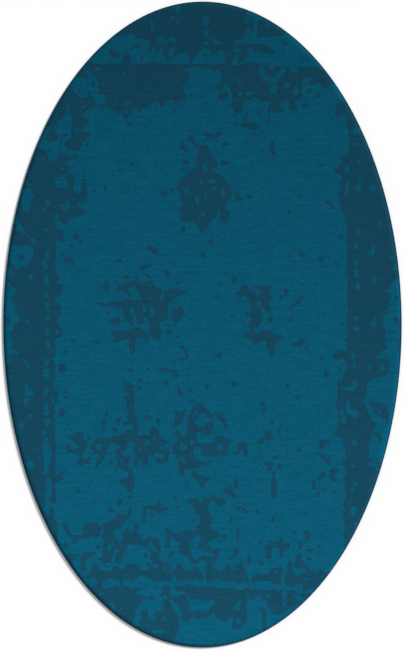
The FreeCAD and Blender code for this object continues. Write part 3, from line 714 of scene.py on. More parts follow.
         (-494, -832), (-494, -806), (-510, -794), (-524, -780), (-534, -762)],
        [(-464, -900), (-456, -912), (-470, -916), (-458, -932), (-448, -940), (-440, -926),
         (-444, -904), (-436, -888), (-424, -880), (-408, -872), (-400, -862), (-456, -862),
         (-458, -880)],
        [(-196, -838), (-208, -846), (-204, -856), (-192, -864), (-196, -876), (-194, -892),
         (-190, -904), (-176, -912), (-160, -904), (-136, -900), (-150, -896), (-162, -892),
         (-168, -882), (-158, -866), (-158, -840), (-162, -820), (-168, -806), (-182, -804),
         (-186, -812)]],
    "arch_pile": [
        [(-226, -684), (-204, -684), (-176, -682), (-162, -664), (-154, -688), (-134, -691),
         (-121, -697), (-140, -704), (-160, -716), (-178, -710), (-190, -700), (-208, -700),
         (-216, -712), (-216, -744), (-226, -756), (-236, -756), (-228, -738), (-226, -710)]],
    "foot_pile_middle": [
        [(-70, -668), (-64, -664), (-46, -660), (-30, -656), (-16, -656), (-8, -676), (2, -656),
         (20, -656), (42, -650), (74, -656), (90, -666), (84, -680), (62, -690), (52, -680),
         (46, -666), (36, -668), (26, -686), (22, -698), (28, -712), (36, -728), (38, -744),
         (30, -758), (38, -780), (62, -782), (68, -796), (52, -808), (36, -818), (18, -818),
         (24, -836), (40, -850), (68, -846), (66, -866), (52, -892), (46, -904), (20, -900),
         (-4, -890), (-14, -900), (-24, -908), (-36, -908), (-48, -896), (-54, -882), (-74, -872),
         (-86, -860), (-91, -846), (-82, -822), (-100, -826), (-106, -816), (-114, -811),
         (-121, -816), (-122, -832), (-118, -846), (-130, -849), (-144, -846), (-148, -836),
         (-136, -830), (-136, -806), (-142, -780), (-136, -762), (-126, -764), (-122, -784),
         (-104, -790), (-94, -782), (-84, -788), (-64, -776), (-44, -772), (-34, -784),
         (-26, -768), (-14, -756), (-10, -740), (-14, -722), (-30, -714), (-30, -692),
         (-40, -682), (-58, -678)],
        [(-132, -876), (-122, -864), (-112, -856), (-103, -858), (-104, -872), (-116, -878),
         (-128, -882)],
        [(-44, -562), (-30, -552), (-18, -558), (-8, -572), (8, -578), (32, -582), (30, -590),
         (16, -598), (6, -612), (0, -632), (-6, -616), (-16, -598), (-28, -584), (-42, -574)],
        [(76, -638), (84, -618), (100, -610), (114, -620), (120, -638), (136, -652), (122, -658),
         (104, -648), (92, -638), (82, -642)]],
    "foot_pile_right": [
        [(236, -838), (246, -822), (262, -818), (270, -828), (290, -826), (296, -808),
         (304, -808), (308, -828), (322, -826), (340, -826), (330, -838), (324, -850),
         (306, -858), (304, -886), (290, -880), (288, -850), (276, -842), (264, -852),
         (262, -878), (252, -892), (240, -880), (236, -858)],
        [(376, -782), (396, -780), (410, -786), (410, -800), (400, -816), (386, -800)],
        [(324, -784), (346, -780), (362, -784), (362, -796), (350, -792), (338, -788)],
        [(360, -870), (374, -864), (378, -884), (388, -900), (362, -905), (344, -896)],
        [(100, -880), (116, -868), (112, -850), (138, -846), (138, -862), (128, -880),
         (110, -888), (92, -890)],
        [(170, -872), (182, -870), (184, -894), (190, -904), (166, -904)],
        [(128, -776), (148, -770), (142, -784), (138, -820), (128, -818), (126, -790)]],
    "bar_pile": [
        [(263, -556), (276, -550), (276, -580), (284, -600), (283, -640), (276, -662),
         (266, -660), (258, -640), (257, -604), (263, -582)],
        [(236, -400), (250, -396), (260, -412), (268, -436), (240, -437), (224, -452),
         (208, -452), (208, -436), (228, -428), (234, -412)]],
}
# Light tufts showing through worn places in the dark yarn.
WORN = [
    [(-173, 1074), (-165, 1088), (-153, 1094), (-143, 1080), (-133, 1076), (-119, 1086),
     (-101, 1078), (-95, 1064), (-109, 1066), (-127, 1068), (-147, 1062), (-169, 1066)],
    [(-198, 1148), (-186, 1150), (-184, 1128), (-192, 1106), (-200, 1108), (-194, 1128)],
    [(214, 967), (226, 973), (236, 950), (256, 935), (274, 937), (292, 957), (302, 973),
     (316, 963), (308, 945), (286, 925), (274, 909), (286, 895), (286, 881), (272, 871),
     (250, 885), (256, 907), (240, 923), (224, 937), (214, 951)],
    [(339, 880), (353, 888), (349, 906), (357, 908), (363, 885), (359, 866), (345, 866)],
    [(-556, 555), (-540, 558), (-514, 562), (-508, 520), (-518, 510), (-530, 520), (-548, 510),
     (-556, 525)],
    [(-543, 450), (-520, 456), (-514, 470), (-500, 458), (-500, 442), (-516, 430), (-530, 440)],
    [(-688, 470), (-682, 508), (-660, 515), (-640, 498), (-636, 484), (-648, 470), (-644, 446),
     (-662, 424), (-678, 432)],
    [(-712, 432), (-706, 408), (-694, 396), (-684, 372), (-670, 356), (-670, 342), (-684, 344),
     (-700, 362), (-714, 385), (-716, 415)],
    [(-740, 255), (-732, 285), (-724, 305), (-700, 298), (-684, 300), (-655, 296), (-637, 285),
     (-637, 262), (-650, 242), (-660, 232), (-666, 218), (-680, 222), (-704, 210), (-714, 224),
     (-728, 236)],
    [(-745, 222), (-728, 216), (-722, 204), (-724, 190), (-734, 178), (-736, 160), (-750, 160)],
    [(-750, 160), (-728, 158), (-724, 142), (-708, 136), (-697, 142), (-693, 137), (-706, 128),
     (-708, 112), (-722, 108), (-718, 84), (-706, 62), (-716, 44), (-694, 38), (-692, 12),
     (-708, 6), (-722, -12), (-732, -24), (-742, -30), (-750, -20)],
    [(-750, -5), (-736, -20), (-726, -8), (-718, -2), (-714, -14), (-728, -32), (-730, -50),
     (-722, -60), (-722, -78), (-732, -90), (-716, -96), (-700, -106), (-691, -118), (-700, -116),
     (-714, -108), (-734, -108), (-728, -130), (-722, -142), (-738, -152), (-750, -150)],
    [(-681, -126), (-672, -130), (-664, -146), (-654, -156), (-658, -166), (-670, -160),
     (-674, -140)],
    [(-668, -214), (-662, -222), (-660, -248), (-640, -254), (-638, -262), (-652, -272),
     (-658, -286), (-656, -304), (-672, -308), (-676, -296), (-672, -270), (-672, -222)],
    [(-648, -338), (-644, -350), (-660, -362), (-676, -378), (-684, -396), (-692, -388),
     (-682, -374), (-664, -362), (-654, -342)],
    [(-590, -428), (-582, -436), (-584, -452), (-574, -470), (-568, -492), (-576, -510),
     (-580, -530), (-580, -552), (-592, -566), (-604, -568), (-598, -552), (-600, -520),
     (-602, -490), (-604, -450), (-598, -434)],
    [(-594, -626), (-574, -624), (-567, -640), (-574, -652), (-580, -662), (-576, -676),
     (-556, -682), (-556, -692), (-574, -694), (-580, -702), (-574, -718), (-584, -722),
     (-594, -712), (-606, -704), (-596, -692), (-592, -660), (-596, -645)],
    [(566, -214), (592, -214), (590, -232), (574, -240), (566, -262), (558, -252), (540, -250),
     (526, -250), (528, -240), (560, -234)],
    [(544, -288), (556, -287), (560, -310), (560, -326), (576, -322), (592, -336), (586, -350),
     (568, -352), (564, -340), (546, -334)],
    [(521, -324), (532, -322), (536, -345), (544, -368), (536, -382), (526, -368)],
    [(620, 274), (634, 278), (642, 296), (650, 300), (652, 280), (650, 260), (640, 258),
     (634, 266), (622, 266)],
    [(720, 208), (726, 224), (738, 228), (750, 222), (748, 206)],
    [(-352, -1056), (-348, -1046), (-341, -1044), (-332, -1066), (-326, -1092), (-340, -1080),
     (-350, -1068)],
    [(-266, -1128), (-262, -1138), (-248, -1140), (-238, -1141), (-236, -1134), (-238, -1120),
     (-228, -1110), (-232, -1098), (-230, -1080), (-222, -1074), (-210, -1074), (-205, -1086),
     (-204, -1108), (-196, -1120), (-182, -1118), (-172, -1108), (-178, -1100), (-188, -1098),
     (-186, -1090), (-172, -1086), (-160, -1084), (-150, -1089), (-142, -1084), (-148, -1066),
     (-146, -1046), (-132, -1037), (-134, -1030), (-152, -1035), (-166, -1036), (-178, -1040),
     (-206, -1042), (-230, -1048), (-238, -1064), (-246, -1075), (-260, -1077), (-255, -1090),
     (-258, -1112)],
    [(-188, -1154), (-170, -1158), (-142, -1154), (-140, -1166), (-154, -1176), (-170, -1166),
     (-184, -1172)],
    [(-60, -1020), (-54, -1020), (-48, -1036), (-42, -1046), (-18, -1038), (2, -1046),
     (22, -1044), (44, -1042), (46, -1056), (32, -1068), (26, -1082), (-4, -1094), (-18, -1076),
     (-30, -1088), (-46, -1082), (-52, -1058)],
    [(118, -1076), (130, -1058), (138, -1044), (144, -1056), (144, -1078), (132, -1084)],
    [(340, -1030), (352, -1024), (370, -1030), (388, -1040), (382, -1047), (364, -1042)],
    [(298, -1020), (308, -1004), (318, -1006), (318, -1030), (314, -1064), (304, -1062),
     (306, -1036)],
    [(336, -912), (350, -916), (358, -926), (368, -922), (386, -924), (390, -936), (372, -942),
     (362, -954), (350, -948), (342, -936)],
    [(-366, -838), (-352, -835), (-345, -825), (-337, -824), (-330, -832), (-340, -840),
     (-345, -850), (-348, -862), (-356, -860), (-360, -850)],
    [(-346, -896), (-338, -880), (-336, -858), (-326, -850), (-316, -854), (-328, -866),
     (-330, -890), (-338, -908)],
    [(-16, -850), (0, -850), (20, -862), (44, -870), (44, -878), (20, -878), (0, -872),
     (-10, -884), (-20, -880)],
    [(-52, -828), (-34, -810), (-20, -796), (-8, -804), (-6, -820), (-18, -842), (-14, -866),
     (-24, -894), (-42, -872), (-46, -848)],
    [(640, -524), (652, -534), (660, -556), (674, -560), (664, -536), (654, -520)],
    [(-364, -484), (-356, -466), (-346, -444), (-332, -450), (-310, -458), (-306, -468),
     (-326, -472), (-330, -490), (-334, -500), (-352, -500)],
    [(-308, -490), (-302, -482), (-290, -478), (-286, -456), (-278, -442), (-262, -438),
     (-257, -446), (-258, -490), (-254, -508), (-270, -504), (-272, -494), (-292, -496)],
    [(6, -440), (12, -424), (26, -422), (36, -430), (34, -444), (16, -446)],
    [(-206, -816), (-194, -814), (-188, -828), (-180, -846), (-176, -862), (-183, -872),
     (-188, -858), (-196, -838), (-206, -830)],
    [(-458, 972), (-448, 984), (-436, 978), (-434, 962), (-418, 948), (-404, 932), (-400, 900),
     (-408, 900), (-414, 928), (-432, 942), (-448, 955)],
    [(-130, 1016), (-124, 1040), (-112, 1050), (-104, 1046), (-110, 1030), (-118, 1010),
     (-126, 1008)],
    [(112, 978), (112, 1000), (122, 1010), (134, 1018), (140, 1012), (134, 1000), (136, 985),
     (128, 976)],
    [(168, 1030), (172, 1046), (184, 1052), (196, 1046), (188, 1036), (178, 1024)],
    [(-584, 752), (-579, 738), (-588, 716), (-600, 704), (-612, 690), (-618, 692), (-606, 712),
     (-596, 732), (-592, 748)],
    [(-292, -386), (-278, -380), (-266, -380), (-262, -392), (-262, -402), (-286, -402)],
    [(-338, -780), (-326, -772), (-312, -776), (-304, -790), (-304, -812), (-314, -826),
     (-322, -812), (-334, -796)],
    [(-382, -762), (-375, -760), (-374, -780), (-380, -806), (-386, -800)],
    [(298, -936), (302, -958), (296, -988), (312, -992), (312, -970), (314, -950), (322, -938),
     (310, -930)],
    [(-2, -934), (4, -950), (3, -968), (6, -984), (16, -982), (13, -960), (12, -942), (6, -930)],
    [(164, -934), (172, -956), (176, -972), (172, -990), (184, -986), (190, -974), (184, -960),
     (188, -944), (176, -936)],
]
WORN_SPOTS = [
    (-112, 1157, 7, 11), (-90, 1146, 8, 8), (-94, 1193, 9, 18), (12, 1150, 15, 18),
    (16, 1105, 7, 18), (14, 1063, 9, 7), (55, 1068, 14, 9), (246, 1130, 11, 9),
    (131, 1036, 13, 8), (-30, 966, 42, 7), (-330, 843, 5, 11, -35), (-284, 838, 11, 11),
    (-375, 908, 6, 6), (-301, 945, 6, 10), (-211, 893, 10, 6), (-395, 968, 11, 9),
    (-447, 968, 10, 9), (-508, 815, 5, 22, 8), (-450, 820, 7, 9), (-474, 733, 7, 9),
    (139, 918, 6, 15, 20), (142, 873, 7, 12), (176, 873, 15, 9, 25), (212, 903, 8, 8),
    (320, 905, 14, 9), (583, 730, 15, 17), (584, 683, 9, 6), (593, 612, 7, 10),
    (547, 588, 11, 15), (546, 515, 7, 24, -12), (593, 540, 4, 22), (588, 515, 12, 12),
    (644, 518, 16, 13, 30), (670, 382, 10, 10), (589, 350, 9, 9), (583, 297, 9, 14),
    (583, 235, 8, 13), (583, 194, 11, 18), (587, 145, 9, 17), (581, 20, 7, 13, -20),
    (585, -18, 11, 11), (652, 168, 8, 12), (648, 0, 11, 13), (653, 24, 4, 11), (572, -116, 9, 16),
    (716, 252, 6, 8), (574, -158, 7, 14, 25), (632, -163, 9, 10), (678, -163, 7, 15),
    (672, -330, 7, 7), (575, -446, 9, 13), (570, -535, 7, 7), (578, -606, 7, 8),
    (640, -530, 12, 10), (566, -628, 7, 10), (571, -704, 10, 18), (578, -756, 8, 8),
    (280, -935, 9, 9), (394, -963, 6, 7), (364, -1000, 17, 17), (413, -1008, 9, 9),
    (250, -1027, 11, 8, -40), (137, -1124, 8, 13), (-385, -1018, 10, 7), (-143, -1114, 9, 9),
    (-110, -1014, 9, 10), (10, 596, 9, 20), (35, 540, 17, 8), (45, 512, 7, 7), (78, 497, 7, 18),
    (13, 485, 5, 11), (4, 418, 7, 10), (61, 412, 7, 18), (-60, 505, 9, 14), (-20, 472, 6, 18),
    (-4, 540, 7, 9), (-668, 537, 5, 12), (-652, 528, 7, 5), (-586, 462, 9, 13), (-597, 432, 5, 8),
    (-552, 405, 7, 16), (-594, 358, 8, 9), (-640, 315, 9, 14, 30), (-586, 264, 9, 19),
    (-596, 226, 6, 22, 20), (-590, 166, 10, 24, 12), (-591, 112, 9, 14), (-588, 70, 7, 15),
    (-586, 27, 7, 11), (-587, -30, 8, 15), (-584, -76, 7, 16, 20), (-590, -146, 8, 13),
    (-648, 178, 7, 13, -15), (-661, 10, 6, 12), (-548, -28, 6, 7), (-590, -186, 12, 18),
    (-592, -252, 7, 20, -25), (-592, -316, 7, 18), (-590, -336, 13, 8), (-588, -372, 11, 16),
    (-600, -410, 7, 13), (-732, -196, 8, 6), (-725, -258, 5, 12), (-724, -290, 4, 7),
    (-652, -532, 15, 14), (-581, -602, 12, 22), (-568, -780, 7, 8), (-585, -756, 4, 9),
    (-600, 626, 6, 6), (-530, 590, 7, 8), (-513, 610, 8, 6), (208, 122, 9, 13), (213, 75, 6, 14),
    (208, -21, 20, 8), (-219, 60, 7, 14), (-190, 45, 9, 21), (-266, 50, 10, 14),
    (-258, 18, 7, 22), (-304, 25, 9, 13), (-203, 100, 6, 6), (-390, -463, 13, 11),
    (-184, -428, 8, 7), (-210, -450, 6, 13, -35), (-238, -471, 9, 5), (-308, -517, 7, 9),
    (-154, -466, 9, 6), (-70, -412, 9, 15), (-74, -463, 14, 15), (68, -466, 12, 14),
    (-30, -338, 5, 14, -30), (-110, -915, 6, 12), (-300, -1112, 4, 4), (-143, -923, 6, 7),
    (-288, 804, 9, 5), (-661, 339, 5, 5), (-565, -285, 5, 14, 10), (-200, 147, 8, 4),
    (-41, -446, 6, 16), (-147, -828, 7, 6),
]
# Stray dark tufts scattered over the light field.
STRAYS = [
    (-247, 1050, 11, 8), (-228, 1004, 6, 12, -25), (313, 1060, 14, 6), (303, 1026, 6, 9),
    (-416, 908, 9, 9), (-466, 884, 7, 8), (-380, 824, 9, 9), (386, 829, 14, 9, 30),
    (405, 885, 13, 7, 30), (433, 865, 9, 9), (10, 838, 7, 6), (-287, 776, 5, 12, 30),
    (-279, 759, 9, 7), (183, 750, 33, 13, -8), (153, 753, 14, 7), (123, 752, 8, 8),
    (195, 718, 9, 6), (249, 800, 5, 30), (253, 768, 6, 14), (38, 712, 28, 7),
    (65, 722, 14, 7, 20), (14, 722, 12, 8, -20), (88, 680, 18, 6, 12), (82, 612, 17, 11),
    (263, 670, 11, 23, -8), (272, 644, 8, 8), (455, 602, 16, 5, 10), (178, 482, 11, 8),
    (132, 484, 9, 18), (146, 470, 8, 6), (372, 484, 10, 11), (477, 459, 18, 7, -25),
    (493, 444, 8, 11, 30), (330, 424, 7, 8), (523, 332, 9, 11), (30, 313, 10, 12),
    (-73, 588, 9, 7), (-146, 494, 15, 10), (-116, 508, 10, 11), (-74, 356, 9, 16, -10),
    (-265, 608, 9, 9), (-309, 583, 7, 9), (-367, 516, 7, 10), (-407, 506, 6, 9),
    (-452, 587, 8, 7), (-436, 682, 5, 9), (-425, 360, 9, 6), (-479, 331, 12, 11),
    (-459, 311, 10, 9), (-535, 696, 6, 9), (-578, 660, 8, 8), (-687, 257, 13, 10),
    (-531, 262, 10, 7), (-516, 244, 10, 14, -30), (-500, 246, 9, 8), (-491, 232, 7, 18),
    (-495, 298, 6, 10), (-314, 241, 10, 8), (-286, 180, 12, 8, 15), (-250, 181, 9, 8),
    (-107, 225, 7, 8), (-92, 158, 8, 8), (-125, -28, 15, 9, 15), (-95, -48, 8, 6),
    (-76, -84, 8, 6), (-62, -104, 7, 16, 30), (-60, -122, 7, 10), (-75, -133, 12, 6),
    (-401, -68, 12, 9), (-487, -66, 9, 9), (-519, -104, 7, 10), (55, 107, 8, 9), (114, 35, 10, 6),
    (316, 122, 11, 12), (297, 104, 8, 6), (258, 17, 12, 12), (335, 14, 7, 6), (530, 1, 6, 8),
    (394, -92, 9, 10), (63, -118, 10, 12), (452, -127, 7, 9), (326, 258, 8, 8), (378, 262, 13, 8),
    (447, 247, 8, 12), (506, 232, 7, 8), (2, 266, 9, 13), (734, 100, 7, 10), (-530, -165, 17, 20),
    (-270, -176, 9, 11), (-205, -168, 9, 7), (-158, -170, 9, 7), (-141, -172, 8, 7),
    (-114, -178, 14, 7, -15), (-98, -190, 9, 14), (-58, -190, 6, 8), (-241, -212, 7, 10),
    (-210, -220, 7, 9), (-138, -224, 14, 9, -25), (-238, -240, 8, 9), (-92, -240, 7, 14, 10),
    (-84, -262, 9, 15, 15), (-45, -253, 6, 6), (-35, -287, 7, 7), (-134, -303, 4, 7),
    (-518, -256, 7, 6), (-517, -276, 9, 7), (-532, -334, 11, 16), (-362, -338, 7, 10),
    (-372, -368, 8, 12), (-168, -364, 10, 11), (-332, -399, 12, 7), (-518, -397, 7, 6),
    (-344, -520, 6, 8), (18, -235, 9, 11), (121, -225, 12, 8), (322, -234, 7, 9),
    (362, -275, 14, 8, 10), (228, -303, 13, 8), (232, -326, 10, 10), (468, -186, 11, 15),
    (265, -371, 7, 11), (292, -402, 8, 16), (318, -402, 6, 8), (365, -476, 9, 8),
    (276, -502, 17, 7, 18), (212, -497, 7, 6), (216, -533, 8, 6), (253, -535, 14, 17),
    (290, -540, 11, 11, 30), (463, -444, 23, 9), (452, -460, 14, 9), (440, -488, 14, 7, -30),
    (456, -506, 9, 12), (474, -518, 9, 18), (500, -554, 17, 12), (492, -574, 9, 18),
    (502, -592, 8, 7), (456, -568, 10, 13, -30), (442, -583, 9, 8), (421, -603, 8, 15, -10),
    (423, -618, 9, 9), (127, -604, 8, 24), (520, -166, 6, 10), (-471, -632, 6, 10),
    (-314, -672, 11, 15, -30), (-350, -700, 11, 8), (-340, -706, 6, 7), (-62, -612, 9, 7),
    (-100, -651, 6, 7), (-99, -692, 11, 7), (-34, -740, 6, 6), (146, -697, 22, 7, -14),
    (166, -710, 10, 7), (208, -710, 9, 9), (106, -744, 7, 12), (269, -736, 6, 20, -10),
    (393, -717, 7, 8), (437, -643, 9, 9), (462, -627, 9, 8), (498, -636, 8, 8),
    (82, -802, 13, 8, 15), (220, -824, 8, 9, -20), (373, -836, 8, 16), (443, -840, 7, 9),
    (405, -856, 14, 8), (405, -887, 10, 8), (219, -903, 13, 8), (-520, -836, 8, 9),
    (-396, -843, 7, 9), (-570, -664, 8, 16), (-570, -708, 9, 16), (10, 1015, 7, 6),
    (184, 1132, 9, 28), (-733, 12, 8, 22), (-193, -717, 4, 12, 22), (-206, -909, 7, 9),
    (-49, 586, 4, 14),
]


# ---------------------------------------------------------------- cut pile
# Wool-like yarn tufted through the cloth in rows 9.4 mm apart and sheared level, light and
# dark side by side, so their tops make one surface.  Each motif is its own piece, with walls
# down to the cloth, and the pile leans out and down over the rim.
ROW = 9.4 * mm
CELL_X, CELL_Y = 6.1 * mm, ROW / 2
CELL_SWAY, SWAY_LUMP = 0.12, 4 * mm
PILE_FOOT, PILE_TOP = box_of("field_pile")
PILE_INSET = 5.2 * mm
FOOT_SUNK = 0.2 * mm
SHOULDER, SHOULDER_DROP, SHOULDER_END = 11 * mm, 4.2 * mm, 1.4
ROW_RELIEF, TUFT_RELIEF, UNDULATION = 0.26 * mm, 0.28 * mm, 0.3 * mm
TUFT_LUMP, UNDULATION_LUMP = 5 * mm, 45 * mm
LATTICE, LATTICE_MIDDLE = 700, 300


def drift(x, y, size, seed):
    """Smooth noise from -1 to 1, with lumps of about the given size."""
    lattice = np.random.default_rng(seed).uniform(-1, 1, (LATTICE, LATTICE))
    u, v = x / size + LATTICE_MIDDLE, y / size + LATTICE_MIDDLE
    i, j = np.floor(u).astype(int), np.floor(v).astype(int)
    u, v = u - i, v - j
    u, v = u * u * (3 - 2 * u), v * v * (3 - 2 * v)
    i, j = i % (LATTICE - 1), j % (LATTICE - 1)
    near = lattice[i, j] * (1 - u) + lattice[i + 1, j] * u
    far = lattice[i, j + 1] * (1 - u) + lattice[i + 1, j + 1] * u
    return near * (1 - v) + far * v


REACH = 14.0               # millimetres past an outline's edge at which its depth levels off


def inside_by(outline, x, y):
    """How far points lie inside an outline, in millimetres; negative outside it."""
    points = np.array(outline, float)
    near = ((x > points[:, 0].min() - REACH) & (x < points[:, 0].max() + REACH)
            & (y > points[:, 1].min() - REACH) & (y < points[:, 1].max() + REACH))
    px, py = x[near], y[near]
    best = np.full(px.shape, REACH ** 2)
    odd = np.zeros(px.shape, bool)
    for (ax, ay), (bx, by) in zip(points, np.roll(points, -1, axis=0)):
        run = max((bx - ax) ** 2 + (by - ay) ** 2, 1e-9)
        along = np.clip(((px - ax) * (bx - ax) + (py - ay) * (by - ay)) / run, 0, 1)
        best = np.minimum(best, (px - ax - along * (bx - ax)) ** 2
                          + (py - ay - along * (by - ay)) ** 2)
        if ay != by:
            odd ^= ((ay > py) != (by > py)) & (px < (bx - ax) * (py - ay) / (by - ay) + ax)
    depth = np.full(x.shape, -REACH)
    depth[near] = np.where(odd, np.sqrt(best), -np.sqrt(best))
    return depth


def inside_spot(spot, x, y):
    """The same for an oval spot."""
    cx, cy, wide, tall = spot[:4]
    lean = math.radians(spot[4]) if len(spot) > 4 else 0.0
    u = (x - cx) * math.cos(lean) + (y - cy) * math.sin(lean)
    v = (y - cy) * math.cos(lean) - (x - cx) * math.sin(lean)
    return (1 - np.hypot(u / wide, v / tall)) * min(wide, tall)


# a motif's ragged edge has broad lobes and finer nicks: how deep they go and how long they
# are, in millimetres
LOBE_DEPTH, LOBE_LENGTH = 2.2, 15
NICK_DEPTH, NICK_LENGTH = 1.7, 7


def wander(x, y, seed):
    """How far the edge strays from its drawn line, in millimetres."""
    return (LOBE_DEPTH * drift(x, y, LOBE_LENGTH, seed)
            + NICK_DEPTH * drift(x, y, NICK_LENGTH, seed + 1))


# the outlines are drawn a third of a per cent too large, and a fraction of a millimetre off
# the rug's middle, so a place on the rug is brought to their scale before it is looked up
DRAWN_LARGE, ASIDE, BELOW = 1.0033, 0.2, -0.6
TRIM = 0.1                 # millimetres that the light yarn closes over each dark edge
CERTAIN = 99.0             # deeper than any outline, for the strays


def pattern(x, y):
    """Dark yarn's depth at points in metres, and which motif is deepest there."""
    x, y = x / mm * DRAWN_LARGE + ASIDE, y / mm * DRAWN_LARGE + BELOW
    x, y = x + wander(x, y, 1), y + wander(x, y, 3)
    depths = [np.max([inside_by(o, x, y) for o in outlines], axis=0)
              for outlines in DARK.values()]
    dark = np.max(depths, axis=0)
    for outline in WORN:
        dark = np.minimum(dark, -inside_by(outline, x, y))
    for spot in WORN_SPOTS:
        dark = np.minimum(dark, -inside_spot(spot, x, y))
    stray = np.max([inside_spot(s, x, y) for s in STRAYS], axis=0)
    depths.append(np.where(stray > dark, CERTAIN, -CERTAIN))
    return np.maximum(dark, stray) - TRIM, np.argmax(depths, axis=0)


def rim_depth(x, y, inset):
    """How far in from an oval, itself inset from the rim, points lie."""
    a, b = HALF_WIDE - inset, HALF_LONG - inset
    s = np.maximum(np.hypot(x / a, y / b), 1e-6)
    return (1 - s) * s / np.maximum(np.hypot(x / a ** 2, y / b ** 2), 1e-9)


def off_edge(depth, least):
    """Counts a cell corner that lies on an edge as just inside it."""
    return np.where(np.abs(depth) < least, least, depth)


LEAST_DEPTH = 0.02         # millimetres
cols = math.ceil(HALF_WIDE / CELL_X)
rows = math.ceil(HALF_LONG / CELL_Y)
gx, gy = np.meshgrid(np.arange(-cols, cols + 1) * CELL_X, np.arange(-rows, rows + 1) * CELL_Y,
                     indexing="ij")
gx = gx + CELL_SWAY * CELL_X * drift(gx, gy, SWAY_LUMP, 5)
rim = off_edge(rim_depth(gx, gy, PILE_INSET), LEAST_DEPTH * mm)
dark, motif = pattern(gx, gy)
dark = off_edge(dark, LEAST_DEPTH)
row_sign = np.where(np.arange(-rows, rows + 1) % 2, 1.0, -1.0)[None, :]
tops = (PILE_TOP + ROW_RELIEF * row_sign + TUFT_RELIEF * drift(gx, gy, TUFT_LUMP, 6)
        + UNDULATION * drift(gx, gy, UNDULATION_LUMP, 7)
        - SHOULDER_DROP * np.clip(1 - rim / SHOULDER, 0, SHOULDER_END) ** 2)

STRAY, LIGHT = len(DARK), len(DARK) + 1     # the owners that come after the motifs
vertices, shared = [], {}
faces_of = {k: [] for k in range(LIGHT + 1)}


def vertex(x, y, z):
    """One shared vertex for all that meet within a micrometre of a place."""
    key = (round(x * 1e6), round(y * 1e6))
    if key not in shared:
        shared[key] = len(vertices)
        vertices.append((x, y, z))
    return shared[key]


def keep(corners, field):
    """The part of a cell's corners where the given field is above zero."""
    kept = []
    for p, q in zip(corners, corners[1:] + corners[:1]):
        if p[field] > 0:
            kept.append(p)
        if (p[field] > 0) != (q[field] > 0):
            lo, hi = (p, q) if p[field] < q[field] else (q, p)
            t = lo[field] / (lo[field] - hi[field])
            kept.append([a + t * (b - a) for a, b in zip(lo, hi)])
    return kept


RIM_FIELD, DARK_FIELD, LIGHT_FIELD = 3, 4, 5     # a corner's values after its x, y and z


def lay_tufts():
    """Fills the oval with cells, cut along the rim and along the motifs."""
    for i in range(2 * cols):
        for j in range(2 * rows):
            ring = ((i, j), (i + 1, j), (i + 1, j + 1), (i, j + 1))
            corners = [[gx[c], gy[c], tops[c], rim[c], dark[c], -dark[c]] for c in ring]
            if all(c[RIM_FIELD] <= 0 for c in corners):
                continue
            if any(c[RIM_FIELD] <= 0 for c in corners):
                corners = keep(corners, RIM_FIELD)
            for field, owner in ((DARK_FIELD, int(motif[i, j])), (LIGHT_FIELD, LIGHT)):
                signs = [c[field] > 0 for c in corners]
                if not any(signs):
                    continue
                part = corners if all(signs) else keep(corners, field)
                face = [vertex(*c[:3]) for c in part]
                face = [v for n, v in enumerate(face) if v != face[n - 1]]
                if len(face) > 2:
                    faces_of[owner].append(face)


lay_tufts()


def pile_piece(name, faces):
    """A block of pile: the sheared top, its walls, and a flat foot on the cloth."""
    used = sorted({v for f in faces for v in f})
    number = {v: n for n, v in enumerate(used)}
    faces = [[number[v] for v in f] for f in faces]
    points = [vertices[v] for v in used]
    # an edge that only one face has is on the block's border
    once = {}
    for f in faces:
        for a, b in zip(f, f[1:] + f[:1]):
            if (b, a) in once:
                del once[b, a]
            else:
                once[a, b] = True
    foot = {}
    for a, b in once:
        for v in (a, b):
            if v not in foot:
                foot[v] = len(points)
                points.append((points[v][0], points[v][1], PILE_FOOT - FOOT_SUNK))
    walls = [[b, a, foot[a], foot[b]] for a, b in once]
    ring = list(foot)
    place_of = {v: n for n, v in enumerate(ring)}
    flat = [Vector(points[v][:2]) for v in ring]
    filled = delaunay_2d_cdt(flat, [(place_of[a], place_of[b]) for a, b in once], [], 2, 1e-9)
    sole = []
    if len(filled[0]) == len(flat):
        origin = [n[0] for n in filled[3]]
        sole = [[foot[ring[origin[v]]] for v in reversed(f)] for f in filled[2]]
    piece = new_piece(name, points, faces + walls + sole)
    mesh = piece.data
    mesh.validate()
    smooth = np.zeros(len(mesh.polygons), bool)
    smooth[:len(faces)] = True
    mesh.polygons.foreach_set("use_smooth", smooth)
    border = {frozenset(edge) for edge in once}
    mesh.edges.foreach_set("use_edge_sharp", [frozenset(e.vertices) in border for e in mesh.edges])
    return piece


light_yarn = yarn("light_teal_pile", "095873", "05475d")
dark_yarn = yarn("dark_teal_pile", "13465c", "0f3c4f")
finish_piece(pile_piece("light_pile", faces_of[LIGHT]), light_yarn, "light_teal_yarn",
             "field_pile", "hem_pile", "rim_pile_right")
for which, node in enumerate(DARK):
    finish_piece(pile_piece("dark_" + node, faces_of[which]), dark_yarn, "dark_teal_yarn", node)
finish_piece(pile_piece("stray_tufts", faces_of[STRAY]), dark_yarn, "dark_teal_yarn")


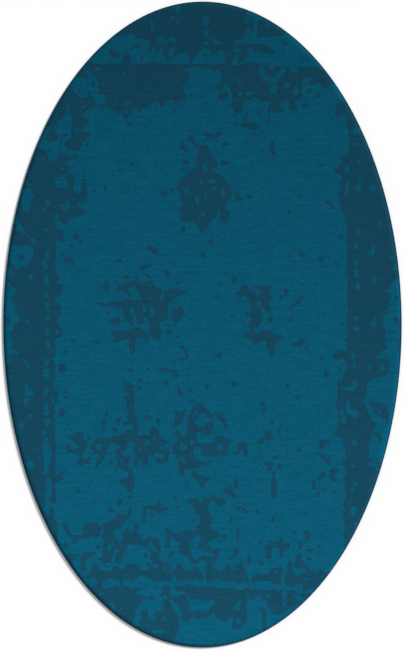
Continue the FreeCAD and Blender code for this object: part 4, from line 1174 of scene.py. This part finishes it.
# ---------------------------------------------------------------- studio
# A plain white paper sweep under the rug, soft light from all round and one broad lamp high
# to the right, which leaves a thin soft shadow at the lower left.
bpy.context.scene.view_settings.view_transform = "Standard"
FLOOR_DROP = 0.4 * mm
SWEEP_WIDE = 400           # metres, so that the sweep fills every low view
bpy.ops.object.select_all(action="DESELECT")
bpy.ops.mesh.primitive_plane_add(size=SWEEP_WIDE, location=(0, 0, -FLOOR_DROP))
floor = bpy.context.object
floor.name = "studio_floor"
bpy.ops.object.transform_apply(location=True, rotation=True, scale=True)
paper, t = new_material("matt_white_paper")
matt = add(t, "ShaderNodeBsdfPrincipled", {"Base Color": (0.93, 0.93, 0.93, 1),
                                           "Roughness": 0.95, "Specular IOR Level": 0.0})
add(t, "ShaderNodeOutputMaterial", {"Surface": matt.outputs[0]})
floor.data.materials.append(paper)

SKY_AS_LIGHT, SKY_AS_SEEN = 0.46, 1.0
sky = bpy.data.worlds.new("studio_light")
sky.use_nodes = True
glow = sky.node_tree.nodes["Background"]
glow.inputs["Color"].default_value = (1, 1, 1, 1)
# the light tent reads as plain white where it is seen past the end of the sweep
seen = add(sky.node_tree, "ShaderNodeLightPath")
level = add(sky.node_tree, "ShaderNodeMapRange", {"Value": seen.outputs["Is Camera Ray"],
                                                  "To Min": SKY_AS_LIGHT, "To Max": SKY_AS_SEEN})
sky.node_tree.links.new(level.outputs[0], glow.inputs["Strength"])
bpy.context.scene.world = sky

LAMP_TILT, LAMP_TURN = math.radians(60), math.radians(36)
LAMP_STRENGTH, LAMP_WIDTH = 3.85, math.radians(15)
lamp = bpy.data.lights.new("broad_lamp", "SUN")
lamp.energy = LAMP_STRENGTH
lamp.angle = LAMP_WIDTH
lamp_stand = bpy.data.objects.new("broad_lamp", lamp)
lamp_stand.rotation_euler = (0, LAMP_TILT, LAMP_TURN)
bpy.context.collection.objects.link(lamp_stand)

FRAME_TALL = 2.4506        # metres from the top of the view to its foot, at the pile's top
FRAME_SHIFT = -0.0019
LENS, SENSOR = 120, 36
camera_data = bpy.data.cameras.new("camera")
camera_data.lens = LENS
camera_data.sensor_width = SENSOR
camera_data.sensor_fit = "AUTO"
camera_data.clip_end = SWEEP_WIDE
camera = bpy.data.objects.new("camera", camera_data)
camera.location = (0.0, FRAME_SHIFT, PILE_TOP + LENS / SENSOR * FRAME_TALL)
bpy.context.collection.objects.link(camera)
bpy.context.scene.camera = camera
